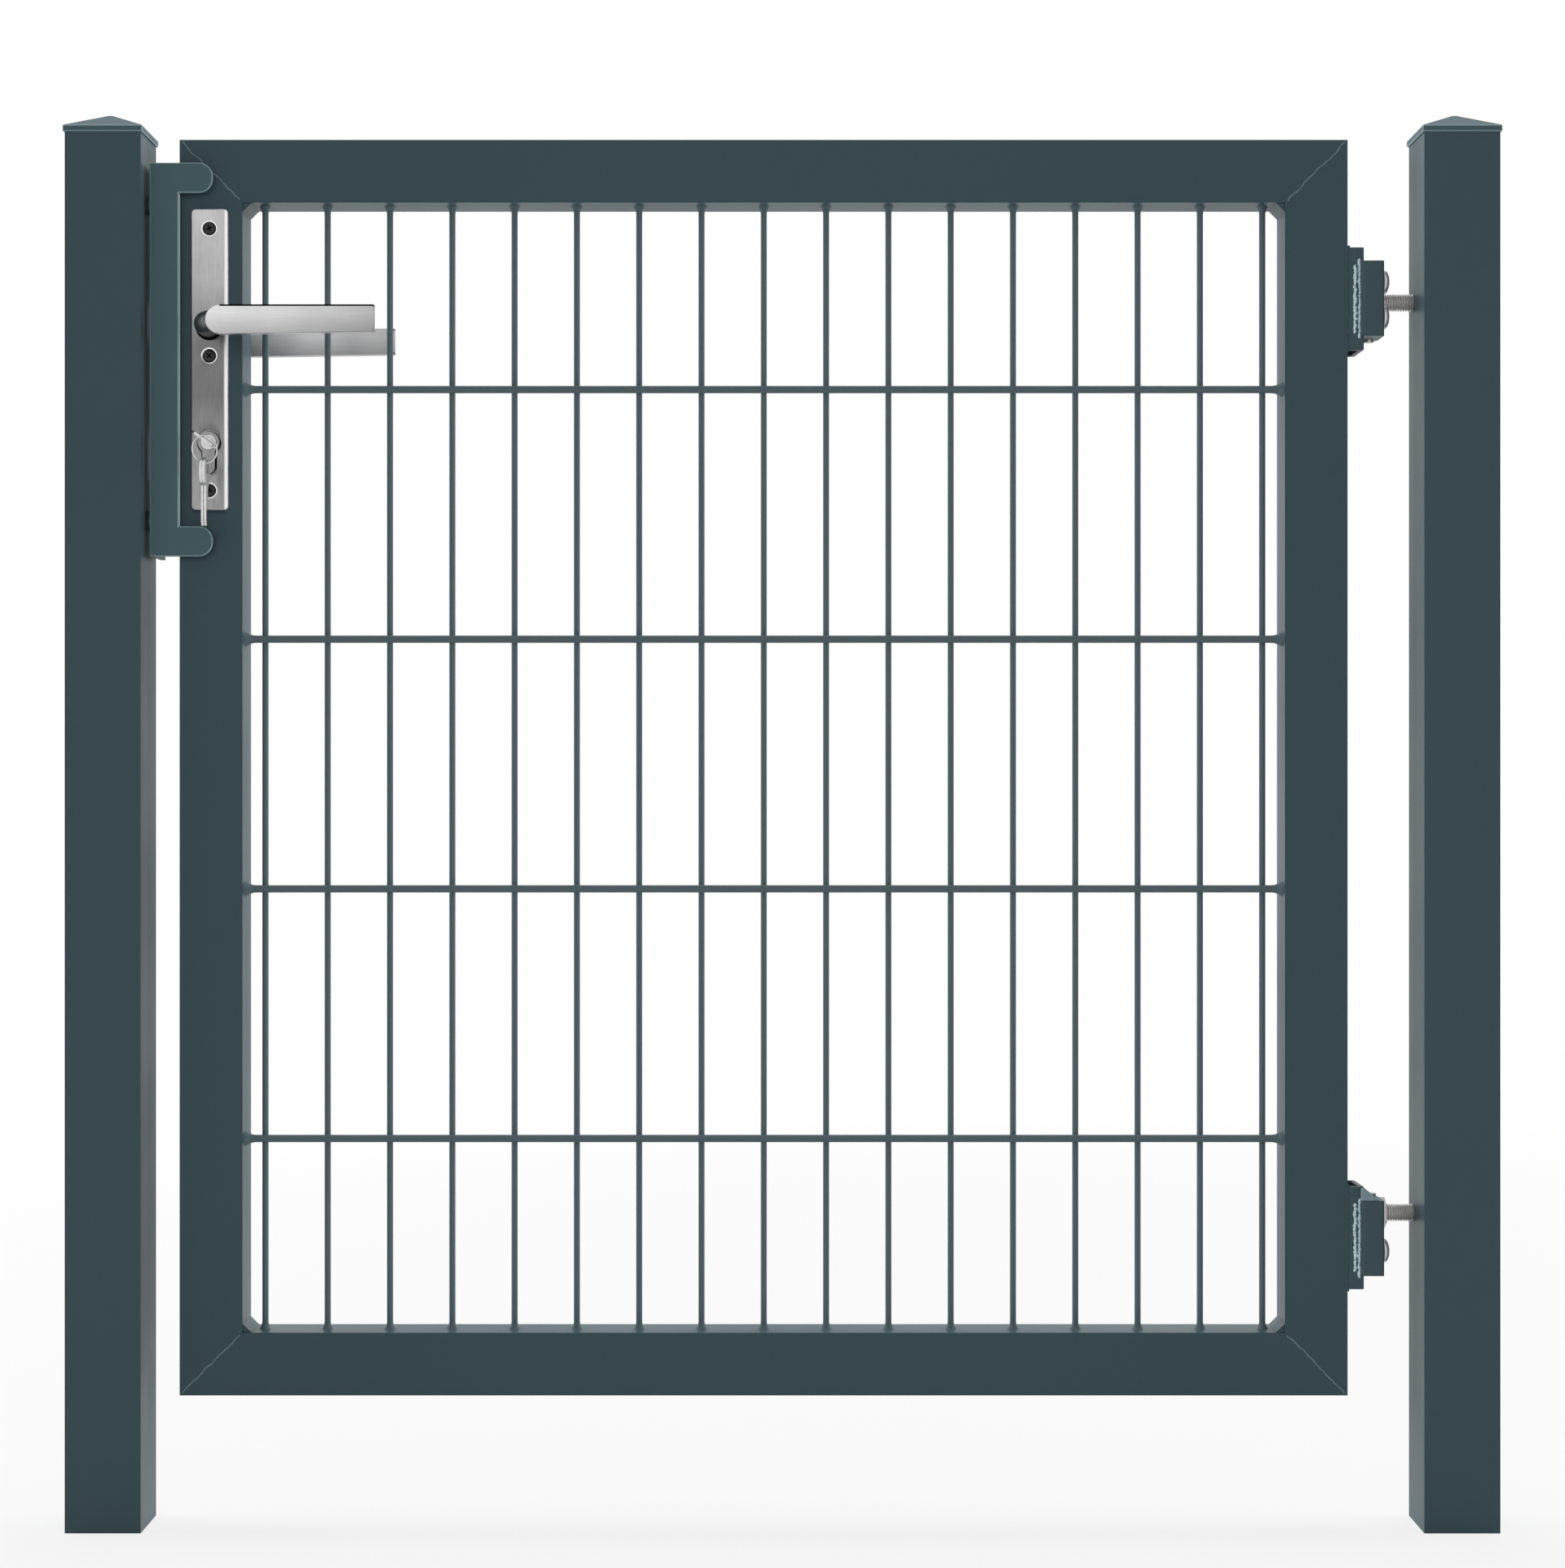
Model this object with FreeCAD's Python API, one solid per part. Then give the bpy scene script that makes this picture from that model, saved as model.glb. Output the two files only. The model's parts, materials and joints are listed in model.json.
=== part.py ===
import FreeCAD, Part
import math
import os
from FreeCAD import Rotation, Vector

os.makedirs("parts", exist_ok=True)

# Single-leaf garden gate: a mitred tube frame with a welded rod mesh, hung between two square posts.
# Millimetres, +Z up. The origin is the middle of the hinge post's foot.
# X runs along the gate with the latch post on the minus side; the front of the gate faces minus Y.

# Posts
post_width = 60.0
post_wall = 2.0
post_above_leaf = 1.5
clear_gap = 1012.0

# Post caps
cap_overhang = 1.5
cap_brim = 5.0
cap_rise = 13.5
cap_crown = 3.0
cap_wall = 1.6
cap_peak = 3.0
cap_plug_depth = 12.0
cap_plug_clearance = 0.3

# Leaf frame
leaf_width = 930.0
leaf_height = 1000.0
leaf_lift = 104.0
latch_gap = 26.0
tube_face = 50.0
tube_depth = 40.0
tube_wall = 2.0
leaf_front = -6.0
corner_weld = 7.0
corner_weld_inset = 1.5

# Rod mesh
upright_diameter = 5.0
crossbar_diameter = 6.0
upright_pitch = 50.0
upright_count = 17
crossbar_pitch = 200.0
crossbar_count = 4
first_crossbar_drop = 197.0
weld_bite = 0.6
rod_sides = 8
upright_weld_radius = 4.6
upright_weld_length = 5.0
crossbar_weld_radius = 6.6
crossbar_weld_length = 7.0

# Stop plate and keep on the latch post
stop_thickness = 4.0
stop_clearance = 5.5
stop_post_gap = 4.0
stop_leaf_edge_gap = 1.0
stop_tab_height = 24.0
stop_above_escutcheon = 12.0
stop_below_escutcheon = 12.5
stop_tab_reach = 28.0
stop_tab_rounding = 11.0
keep_thickness = 4.0
keep_back = 28.0
keep_bolt_diameter = 8.0
keep_bolt_head_radius = 7.5
keep_bolt_head_height = 4.0
keep_bolt_head_bevel = 2.0
keep_bolt_y = 8.0
keep_bolt_inset = 30.0
keep_bolt_reach = 12.0
keep_spacer_radius = 8.0
bolt_slot_clearance = 2.0

# Lock
spindle_drop = 150.0
spindle_to_cylinder = 92.0
escutcheon_width = 30.0
escutcheon_rise = 94.0
escutcheon_length = 240.0
escutcheon_thickness = 8.0
escutcheon_corner = 4.0
escutcheon_edge = 2.5
plate_screw_inset = 16.0
plate_screw_below_spindle = 23.0
plate_screw_radius = 4.6
plate_screw_shank_radius = 2.0
plate_screw_head = 2.5
plate_screw_length = 14.0
forend_width = 22.0
forend_length = 235.0
forend_thickness = 3.0
lock_case_depth = 32.0
lock_case_thickness = 16.0
lock_case_length = 190.0
latch_width = 12.0
latch_length = 26.0
latch_rise = 8.0
dead_bolt_width = 10.0
dead_bolt_length = 34.0
bolt_depth = 14.0
bolt_clearance = 0.3

# Cylinder, key, ring and spare keys
cylinder_round_radius = 8.5
cylinder_slot_width = 10.0
cylinder_drop = 24.5
cylinder_proud = 3.0
cylinder_clearance = 0.4
plug_radius = 6.0
plug_fit = 0.05
plug_proud = 0.5
plug_length = 28.0
key_thickness = 2.2
key_turned = 36.0
key_shank_width = 8.0
key_shank_length = 26.0
key_shank_show = 5.0
key_bow_radius = 12.0
key_hole_radius = 5.5
key_hole_offset = 4.0
key_blade_width = 8.0
key_blade_length = 30.0
keyway_clearance = 0.1
ring_radius = 11.0
ring_wire_radius = 0.8
ring_sides = 24
ring_turn = 50.0
ring_lead = 1.0
ring_slip = 3.0
ring_clearance = 0.5
spare_key_slack = 1.8
spare_key_gap = 0.1

# Handle
neck_radius = 9.0
neck_fit = 0.05
neck_length = 14.0
neck_bend_radius = 18.0
neck_bend_angle = 50.0
neck_run = 7.0
lever_standoff = 32.0
lever_thickness = 8.0
lever_root_ahead = 15.4
lever_reach = 136.0
lever_root_height = 23.0
lever_tip_height = 21.0
lever_edge = 1.3
spindle_square = 8.0
spindle_grip = 14.0
follower_radius = 6.5

# Hinges
upper_hinge_drop = 126.5
lower_hinge_rise = 125.5
hinge_rod_offsets = {"upper": 0.0, "lower": 17.0}
hinge_bolt_offsets = {"upper": (13.5, -14.5), "lower": (-10.5,)}
hinge_channel_width = 13.0
hinge_channel_height = 82.0
hinge_channel_wall = 4.0
hinge_block_height = 60.0
hinge_block_reach = 28.5
hinge_block_lap = 3.0
hinge_block_proud = 5.0
hinge_block_depth = 17.0
hinge_block_rounding = 2.5
hinge_lug_thickness = 5.5
hinge_lug_radius = 7.5
hinge_pin_out = 21.0
hinge_pin_back = 23.0
hinge_pin_radius = 4.0
hinge_pin_head_radius = 6.0
hinge_pin_head_height = 3.0
hinge_eye_radius = 7.6
hinge_eye_fit = 0.05
hinge_eye_play = 0.3
hinge_rod_radius = 7.0
hinge_bush_radius = 11.0
hinge_bush_length = 30.0
hinge_rod_grip = 26.0
hinge_bolt_head_radius = 9.5
hinge_bolt_head_height = 4.7
hinge_bolt_head_bevel = 2.6
hinge_bolt_shank_radius = 4.0
hinge_bolt_back = 4.0
hinge_nut_across_flats = 22.0
hinge_nut_height = 4.5
hinge_nut_gap = 0.8
hinge_nut_clearance = 5.0

# Places worked out from the sizes above
post_half = post_width / 2
latch_post_x = -(clear_gap + post_width)
latch_post_inner = latch_post_x + post_half
leaf_left = latch_post_inner + latch_gap
leaf_right = leaf_left + leaf_width
leaf_back = leaf_front + tube_depth
leaf_middle_y = leaf_front + tube_depth / 2
leaf_bottom = leaf_lift
leaf_top = leaf_lift + leaf_height
post_height = leaf_top + post_above_leaf
hinge_heights = {"upper": leaf_top - upper_hinge_drop, "lower": leaf_bottom + lower_hinge_rise}
opening_left = leaf_left + tube_face
opening_right = leaf_right - tube_face
opening_bottom = leaf_bottom + tube_face
opening_top = leaf_top - tube_face
lock_x = leaf_left + tube_face / 2
spindle_height = leaf_top - spindle_drop
cylinder_height = spindle_height - spindle_to_cylinder
escutcheon_top = spindle_height + escutcheon_rise
escutcheon_bottom = escutcheon_top - escutcheon_length
plate_screw_heights = (escutcheon_top - plate_screw_inset, spindle_height - plate_screw_below_spindle,
                       escutcheon_bottom + plate_screw_inset)
stop_top = escutcheon_top + stop_above_escutcheon + stop_tab_height
stop_bottom = escutcheon_bottom - stop_below_escutcheon - stop_tab_height
plate_front = leaf_front - escutcheon_thickness
plate_back = leaf_back + escutcheon_thickness
pin_x = leaf_right + hinge_pin_out
pin_y = leaf_front + hinge_pin_back
hinge_nut_x = leaf_right + hinge_block_reach + hinge_nut_gap
hinge_nut_corner = hinge_nut_across_flats / 2 / math.cos(math.pi / 6)
along_y, along_z = Vector(0, 1, 0), Vector(0, 0, 1)

pieces = {}


def box(x0, x1, y0, y1, z0, z1):
    """A block between two values on each axis."""
    return Part.makeBox(x1 - x0, y1 - y0, z1 - z0, Vector(x0, y0, z0))


def rod(radius, start, end):
    """A round bar from one point to another."""
    start, end = Vector(*start), Vector(*end)
    return Part.makeCylinder(radius, (end - start).Length, start, end - start)


def face_in_plane(points):
    """A flat face inside a closed outline of points."""
    return Part.Face(Part.makePolygon([Vector(*p) for p in points] + [Vector(*points[0])]))


def cut_all(shape, tools):
    """The shape with every tool taken out of it."""
    for tool in tools:
        shape = shape.cut(tool)
    return shape


def fuse_all(shapes):
    """One solid from shapes that overlap, with the seams inside flat faces removed."""
    return shapes[0].multiFuse(shapes[1:]).removeSplitter()


def edges_where(shape, test):
    """The edges of a shape whose bounding box passes a test."""
    return [edge for edge in shape.Edges if test(edge.BoundBox)]


def solid_between(first, last):
    """A solid with flat sides between two outlines that have the same number of corners."""
    count = len(first)
    faces = [face_in_plane(first), face_in_plane(last)]
    for index in range(count):
        after = (index + 1) % count
        faces.append(face_in_plane([first[index], first[after], last[after], last[index]]))
    solid = Part.makeSolid(Part.makeShell(faces))
    return solid if solid.Volume > 0 else solid.reversed()


def polygon_bar(radius, start, end, end_radius=None):
    """A bar with rod_sides flats, or a flared one when it ends at another radius."""
    start, end = Vector(*start), Vector(*end)
    turn = Rotation(along_z, end - start)
    rings = []
    for centre, size in ((start, radius), (end, end_radius or radius)):
        reach = size / math.cos(math.pi / rod_sides)
        angles = [math.pi * (2 * side + 1) / rod_sides for side in range(rod_sides)]
        corners = [Vector(reach * math.cos(a), reach * math.sin(a), 0) for a in angles]
        rings.append([centre + turn.multVec(corner) for corner in corners])
    return solid_between(*rings)


def make_post(x):
    """A square tube from the ground up, open at its foot."""
    tube = box(x - post_half, x + post_half, -post_half, post_half, 0, post_height)
    room = post_half - post_wall
    return tube.cut(box(x - room, x + room, -room, room, -1, post_height + 1))


def make_cap(x):
    """A low pyramid lid: its brim lies on the end of the tube, and a hollow plug goes inside it."""
    half = post_half + cap_overhang
    top = post_height + cap_brim

    def square(size, z):
        return [Vector(x + size * a, size * b, z) for a, b in ((-1, -1), (1, -1), (1, 1), (-1, 1))]

    brim = box(x - half, x + half, -half, half, post_height, top)
    roof = solid_between(square(half, top), square(cap_crown / 2, top + cap_rise))
    plug = post_half - post_wall - cap_plug_clearance
    ring = box(x - plug, x + plug, -plug, plug, post_height - cap_plug_depth, top)
    inner = plug - cap_wall
    hollow = box(x - inner, x + inner, -inner, inner, post_height - cap_plug_depth - 1, post_height)
    roof_hollow = solid_between(square(inner, post_height), square(cap_crown / 2, top + cap_rise - cap_peak))
    return fuse_all([brim, roof, ring]).cut(hollow).cut(roof_hollow)


def make_frame_member(points, hollow):
    """A mitred tube: its outline seen from the front, drawn through the depth, less its inside."""
    solid = face_in_plane([(x, leaf_front, z) for x, z in points]).extrude(Vector(0, tube_depth, 0))
    return solid.cut(hollow)


def make_stile(outer_x, inner_x):
    """An upright of the leaf frame between its outer and inner faces."""
    side = 1 if inner_x > outer_x else -1
    low, high = sorted((outer_x + side * tube_wall, inner_x - side * tube_wall))
    hollow = box(low, high, leaf_front + tube_wall, leaf_back - tube_wall, leaf_bottom - 1, leaf_top + 1)
    outline = [(outer_x, leaf_bottom), (inner_x, opening_bottom), (inner_x, opening_top), (outer_x, leaf_top)]
    return make_frame_member(outline, hollow)


def make_rail(outer_z, inner_z):
    """A level member of the leaf frame between its outer and inner faces."""
    side = 1 if inner_z > outer_z else -1
    low, high = sorted((outer_z + side * tube_wall, inner_z - side * tube_wall))
    hollow = box(leaf_left - 1, leaf_right + 1, leaf_front + tube_wall, leaf_back - tube_wall, low, high)
    outline = [(leaf_left, outer_z), (opening_left, inner_z), (opening_right, inner_z), (leaf_right, outer_z)]
    return make_frame_member(outline, hollow)


def make_corner_welds():
    """The four small fillets of weld in the corners of the opening."""
    welds = []
    for x, side_x in ((opening_left, 1), (opening_right, -1)):
        for z, side_z in ((opening_bottom, 1), (opening_top, -1)):
            outline = [(x, z), (x + side_x * corner_weld, z), (x, z + side_z * corner_weld)]
            face = face_in_plane([(px, leaf_front + corner_weld_inset, pz) for px, pz in outline])
            welds.append(face.extrude(Vector(0, tube_depth - 2 * corner_weld_inset, 0)))
    return Part.makeCompound(welds)


def make_mesh():
    """Uprights with crossbars welded to their fronts, and a flared weld at each rod's end."""
    bars = []
    middle = (opening_left + opening_right) / 2
    upright_radius, crossbar_radius = upright_diameter / 2, crossbar_diameter / 2
    crossbar_y = leaf_middle_y - upright_radius - crossbar_radius + weld_bite
    for index in range(upright_count):
        x = middle + (index - (upright_count - 1) / 2) * upright_pitch
        bars.append(polygon_bar(upright_radius, (x, leaf_middle_y, opening_bottom),
                                (x, leaf_middle_y, opening_top)))
        for z, inward in ((opening_bottom, 1), (opening_top, -1)):
            bars.append(polygon_bar(upright_weld_radius, (x, leaf_middle_y, z),
                                    (x, leaf_middle_y, z + inward * upright_weld_length), upright_radius))
    for index in range(crossbar_count):
        z = leaf_top - first_crossbar_drop - index * crossbar_pitch
        bars.append(polygon_bar(crossbar_radius, (opening_left, crossbar_y, z),
                                (opening_right, crossbar_y, z)))
        for x, inward in ((opening_left, 1), (opening_right, -1)):
            bars.append(polygon_bar(crossbar_weld_radius, (x, crossbar_y, z),
                                    (x + inward * crossbar_weld_length, crossbar_y, z), crossbar_radius))
    return fuse_all(bars)


def cylinder_profile(clearance, y0, y1):
    """The keyhole section of a lock cylinder: a round head with a narrower rounded foot."""
    radius = cylinder_round_radius + clearance
    foot = cylinder_slot_width / 2 + clearance
    foot_z = cylinder_height - cylinder_drop - clearance + foot
    head = rod(radius, (lock_x, y0, cylinder_height), (lock_x, y1, cylinder_height))
    neck = box(lock_x - foot, lock_x + foot, y0, y1, foot_z, cylinder_height)
    end = rod(foot, (lock_x, y0, foot_z), (lock_x, y1, foot_z))
    return fuse_all([head, neck, end])


def make_lock_stile():
    """The stile that holds the lock, with its holes for forend, spindle and cylinder."""
    stile = make_stile(leaf_left, opening_left)
    half_forend, half_length = forend_width / 2, forend_length / 2
    forend_middle = escutcheon_top - escutcheon_length / 2
    mortise = box(leaf_left - 1, leaf_left + tube_wall, leaf_middle_y - half_forend,
                  leaf_middle_y + half_forend, forend_middle - half_length, forend_middle + half_length)
    tools = [mortise,
             rod(neck_radius, (lock_x, leaf_front - 1, spindle_height),
                 (lock_x, leaf_back + 1, spindle_height)),
             cylinder_profile(cylinder_clearance, leaf_front - 1, leaf_back + 1)]
    for z in plate_screw_heights:
        tools.append(rod(plate_screw_shank_radius, (lock_x, leaf_front - 1, z), (lock_x, leaf_back + 1, z)))
    return cut_all(stile, tools)


def bolt_box(width, length, centre_z, clearance, x0, x1):
    """The block of a lock bolt, or of the hole that it slides in."""
    half_width, half_length = width / 2 + clearance, length / 2 + clearance
    return box(x0, x1, leaf_middle_y - half_width, leaf_middle_y + half_width,
               centre_z - half_length, centre_z + half_length)


latch_z = spindle_height + latch_rise
dead_bolt_z = cylinder_height - latch_rise


def make_forend():
    """The lock's front strip, set flush in the edge of the stile."""
    middle = escutcheon_top - escutcheon_length / 2
    strip = box(leaf_left, leaf_left + forend_thickness, leaf_middle_y - forend_width / 2,
                leaf_middle_y + forend_width / 2, middle - forend_length / 2, middle + forend_length / 2)
    reach = [leaf_left - 1, leaf_left + forend_thickness + 1]
    return cut_all(strip, [bolt_box(latch_width, latch_length, latch_z, bolt_clearance, *reach),
                           bolt_box(dead_bolt_width, dead_bolt_length, dead_bolt_z, bolt_clearance, *reach)])


def make_lock_case():
    """The flat lock case behind the forend, with pockets for the bolts and the follower's hole."""
    x0 = leaf_left + forend_thickness
    middle = (latch_z + dead_bolt_z) / 2
    half = lock_case_thickness / 2
    case = box(x0, x0 + lock_case_depth, leaf_middle_y - half, leaf_middle_y + half,
               middle - lock_case_length / 2, middle + lock_case_length / 2)
    pocket = leaf_left + bolt_depth + bolt_clearance
    return cut_all(case, [
        bolt_box(latch_width, latch_length, latch_z, bolt_clearance, x0 - 1, pocket),
        bolt_box(dead_bolt_width, dead_bolt_length, dead_bolt_z, bolt_clearance, x0 - 1, pocket),
        rod(follower_radius, (lock_x, leaf_front, spindle_height), (lock_x, leaf_back, spindle_height)),
        cylinder_profile(0, leaf_front, leaf_back)])


def make_escutcheon(leaf_face, outer_face):
    """A long plate with rounded corners and a softened outer rim."""
    low, high = sorted((leaf_face, outer_face))
    half = escutcheon_width / 2
    plate = box(lock_x - half, lock_x + half, low, high, escutcheon_bottom, escutcheon_top)
    plate = plate.makeFillet(escutcheon_corner, edges_where(
        plate, lambda b: b.YLength > escutcheon_thickness / 2))
    plate = plate.makeChamfer(escutcheon_edge, edges_where(
        plate, lambda b: b.YLength < 0.01 and abs(b.YMin - outer_face) < 0.01))
    tools = [rod(neck_radius + neck_fit, (lock_x, low - 1, spindle_height),
                 (lock_x, high + 1, spindle_height)),
             cylinder_profile(cylinder_clearance, low - 1, high + 1)]
    return cut_all(plate, tools + plate_screws(leaf_face, outer_face))


def plate_screws(leaf_face, outer_face):
    """Countersunk screws of one escutcheon, sunk flush."""
    inward = 1 if leaf_face > outer_face else -1
    screws = []
    for z in plate_screw_heights:
        axis = Vector(0, inward, 0)
        head = Part.makeCone(plate_screw_radius, plate_screw_shank_radius, plate_screw_head,
                             Vector(lock_x, outer_face, z), axis)
        shank = Part.makeCylinder(plate_screw_shank_radius, plate_screw_length,
                                  Vector(lock_x, outer_face, z), axis)
        screws.append(fuse_all([head, shank]))
    return screws


def make_cylinder():
    """The lock cylinder from plate to plate, bored for a plug at each end."""
    body = cylinder_profile(0, plate_front - cylinder_proud, plate_back + cylinder_proud)
    bore = plug_radius + plug_fit
    front, back = plate_front - cylinder_proud, plate_back + cylinder_proud
    return cut_all(body, [
        rod(bore, (lock_x, front - 1, cylinder_height), (lock_x, front + plug_length, cylinder_height)),
        rod(bore, (lock_x, back + 1, cylinder_height), (lock_x, back - plug_length, cylinder_height))])


def turned(shape, angle):
    """The shape turned about the plug's axis; a positive angle turns its right side down."""
    return shape.rotated(Vector(lock_x, 0, cylinder_height), along_y, angle)


def make_plug(face, inward, keyway_angle):
    """The turning core of the cylinder, with a keyway for the key's shank."""
    start = face - inward * plug_proud
    plug = rod(plug_radius, (lock_x, start, cylinder_height),
               (lock_x, face + inward * (plug_length - 1), cylinder_height))
    half = key_shank_width / 2 + keyway_clearance
    thick = key_thickness / 2 + keyway_clearance
    low, high = sorted((start - inward, face + inward * (key_shank_length - key_shank_show + 1)))
    keyway = box(lock_x - half, lock_x + half, low, high, cylinder_height - thick, cylinder_height + thick)
    return plug.cut(turned(keyway, keyway_angle))


def make_key():
    """The key in the plug: a flat round bow with a hole, and a shank that enters the keyway."""
    face = plate_front - cylinder_proud - plug_proud
    thick = key_thickness / 2
    half = key_shank_width / 2
    bow_y = face - key_shank_show - key_bow_radius
    bow = rod(key_bow_radius, (lock_x, bow_y, cylinder_height - thick),
              (lock_x, bow_y, cylinder_height + thick))
    hole = rod(key_hole_radius, (lock_x, bow_y - key_hole_offset, cylinder_height - thick - 1),
               (lock_x, bow_y - key_hole_offset, cylinder_height + thick + 1))
    shank = box(lock_x - half, lock_x + half, bow_y, face + key_shank_length - key_shank_show,
                cylinder_height - thick, cylinder_height + thick)
    key = fuse_all([bow, shank]).cut(hole)
    return turned(key, key_turned)


key_face = plate_front - cylinder_proud - plug_proud
bow_centre_y = key_face - key_shank_show - key_bow_radius
key_hole_y = bow_centre_y - key_hole_offset
bow_rim_y = bow_centre_y - key_bow_radius
ring_x = lock_x + ring_slip * math.cos(math.radians(key_turned))
ring_pass_z = cylinder_height - ring_slip * math.sin(math.radians(key_turned))
ring_rim_y = (bow_rim_y + key_hole_y - key_hole_radius) / 2 - ring_lead
ring_inner = ring_radius - ring_wire_radius - ring_clearance
rim_half = (key_hole_y - key_hole_radius - bow_rim_y) / 2 / math.cos(math.radians(ring_turn))
rim_top = (key_thickness / 2 / math.cos(math.radians(key_turned))
           + rim_half * math.sin(math.radians(ring_turn)) * math.tan(math.radians(key_turned)))
ring_z = ring_pass_z + rim_top - math.sqrt(ring_inner ** 2 - rim_half ** 2)


def make_ring():
    """The wire ring through the key's bow, as a ring of flats with a square section."""
    def outline(radius):
        angles = [2 * math.pi * (side + 0.5) / ring_sides for side in range(ring_sides)]
        return [(ring_x - ring_wire_radius, ring_rim_y + radius * math.sin(a), ring_z + radius * math.cos(a))
                for a in angles]

    width = Vector(2 * ring_wire_radius, 0, 0)
    outer = face_in_plane(outline(ring_radius + ring_wire_radius)).extrude(width)
    ring = outer.cut(face_in_plane(outline(ring_radius - ring_wire_radius)).extrude(width))
    return ring.rotated(Vector(ring_x, ring_rim_y, ring_z), along_z, -ring_turn)


def make_spare_key(side):
    """A key of the same blank that hangs edge-on from the ring's lowest point."""
    middle = ring_x + side * (key_thickness + spare_key_gap) / 2
    x0, x1 = middle - key_thickness / 2, middle + key_thickness / 2
    hole_z = ring_z - ring_radius + ring_wire_radius + spare_key_slack - key_hole_radius
    bow_z = hole_z - key_hole_offset
    bow = rod(key_bow_radius, (x0, ring_rim_y, bow_z), (x1, ring_rim_y, bow_z))
    half = key_blade_width / 2
    tip = bow_z - key_bow_radius - key_blade_length
    blade = box(x0, x1, ring_rim_y - half, ring_rim_y + half, tip, bow_z)
    hole = rod(key_hole_radius, (x0 - 1, ring_rim_y, hole_z), (x1 + 1, ring_rim_y, hole_z))
    return fuse_all([bow, blade]).cut(hole)


def make_lever(plate_face, outward):
    """A lever: a round neck leaves the plate, bends towards the tip and runs into the back of a flat bar.

    Seen from the front, the bar's root is a half circle and its lower edge rises towards the tip.
    """
    face_y = plate_face + outward * lever_standoff
    half = lever_root_height / 2
    root, tip = lock_x + lever_root_ahead, lock_x + lever_reach
    top, bottom = spindle_height + half, spindle_height - half
    upper_root, lower_root = Vector(root, face_y, top), Vector(root, face_y, bottom)
    upper_tip, lower_tip = Vector(tip, face_y, top), Vector(tip, face_y, top - lever_tip_height)
    round_root = Part.Arc(lower_root, Vector(root - half, face_y, spindle_height), upper_root)
    outline = Part.Wire([Part.makeLine(upper_root, upper_tip), Part.makeLine(upper_tip, lower_tip),
                         Part.makeLine(lower_tip, lower_root), round_root.toShape()])
    bar = Part.Face(outline).extrude(Vector(0, outward * lever_thickness, 0))
    bar = bar.makeChamfer(lever_edge, edges_where(bar, lambda b: b.YLength < 0.01))

    inner_end = plate_face - outward * escutcheon_thickness
    bend_y = plate_face + outward * neck_length
    neck = rod(neck_radius, (lock_x, inner_end, spindle_height), (lock_x, bend_y, spindle_height))
    bend_start = Vector(lock_x, bend_y, spindle_height)
    section = Part.Face(Part.Wire(Part.makeCircle(neck_radius, bend_start, along_y)))
    bend_axis = Vector(lock_x + neck_bend_radius, bend_y, spindle_height)
    bend = section.revolve(bend_axis, along_z * -outward, neck_bend_angle)
    angle = math.radians(neck_bend_angle)
    bend_end = bend_axis + Vector(-math.cos(angle), outward * math.sin(angle), 0) * neck_bend_radius
    run = Part.makeCylinder(neck_radius, neck_run, bend_end,
                            Vector(math.sin(angle), outward * math.cos(angle), 0))
    lever = fuse_all([neck, bend, run, bar])
    return lever.cut(spindle_bar(inner_end - outward, inner_end + outward * spindle_grip))


def spindle_bar(y0, y1):
    """The square bar through the lock, or the socket for it."""
    half = spindle_square / 2
    low, high = sorted((y0, y1))
    return box(lock_x - half, lock_x + half, low, high, spindle_height - half, spindle_height + half)


def make_stop_plate():
    """The plate the leaf shuts against: a strip with a round-ended tab at its top and bottom."""
    back = leaf_front - stop_clearance
    x0, x1 = latch_post_inner + stop_post_gap, leaf_left + stop_leaf_edge_gap
    tip = leaf_left + stop_tab_reach
    strip = box(x0, x1, back - stop_thickness, back, stop_bottom, stop_top)
    tabs = [box(x0, tip, back - stop_thickness, back, z, z + stop_tab_height)
            for z in (stop_bottom, stop_top - stop_tab_height)]
    plate = fuse_all([strip] + tabs)
    return plate.makeFillet(stop_tab_rounding, edges_where(
        plate, lambda b: b.YLength > stop_thickness / 2 and abs(b.XMin - tip) < 0.01))


def keep_bolt_places():
    """Heights of the bolts that hold the keep."""
    return (stop_bottom + keep_bolt_inset, stop_top - keep_bolt_inset)


def make_keep():
    """The keep strip behind the stop plate, with a slot facing each bolt of the lock."""
    x0 = latch_post_inner + stop_post_gap
    keep = box(x0, x0 + keep_thickness, leaf_front - stop_clearance, keep_back, stop_bottom, stop_top)
    reach = [x0 - 1, x0 + keep_thickness + 1]
    tools = [bolt_box(latch_width, latch_length, latch_z, bolt_slot_clearance, *reach),
             bolt_box(dead_bolt_width, dead_bolt_length, dead_bolt_z, bolt_slot_clearance, *reach)]
    for z in keep_bolt_places():
        tools.append(rod(keep_bolt_diameter / 2, (reach[0], keep_bolt_y, z), (reach[1], keep_bolt_y, z)))
    return cut_all(keep, tools)


def make_keep_bolts():
    """Button-head bolts through the keep into the post wall."""
    face = latch_post_inner + stop_post_gap + keep_thickness
    bolts = []
    for z in keep_bolt_places():
        shank = rod(keep_bolt_diameter / 2, (latch_post_inner - keep_bolt_reach, keep_bolt_y, z),
                    (face + 1, keep_bolt_y, z))
        head = rod(keep_bolt_head_radius, (face, keep_bolt_y, z),
                   (face + keep_bolt_head_height, keep_bolt_y, z))
        head = head.makeChamfer(keep_bolt_head_bevel, edges_where(
            head, lambda b: b.XLength < 0.01 and abs(b.XMin - face - keep_bolt_head_height) < 0.01))
        bolts.append(fuse_all([shank, head]))
    return Part.makeCompound(bolts)


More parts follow.
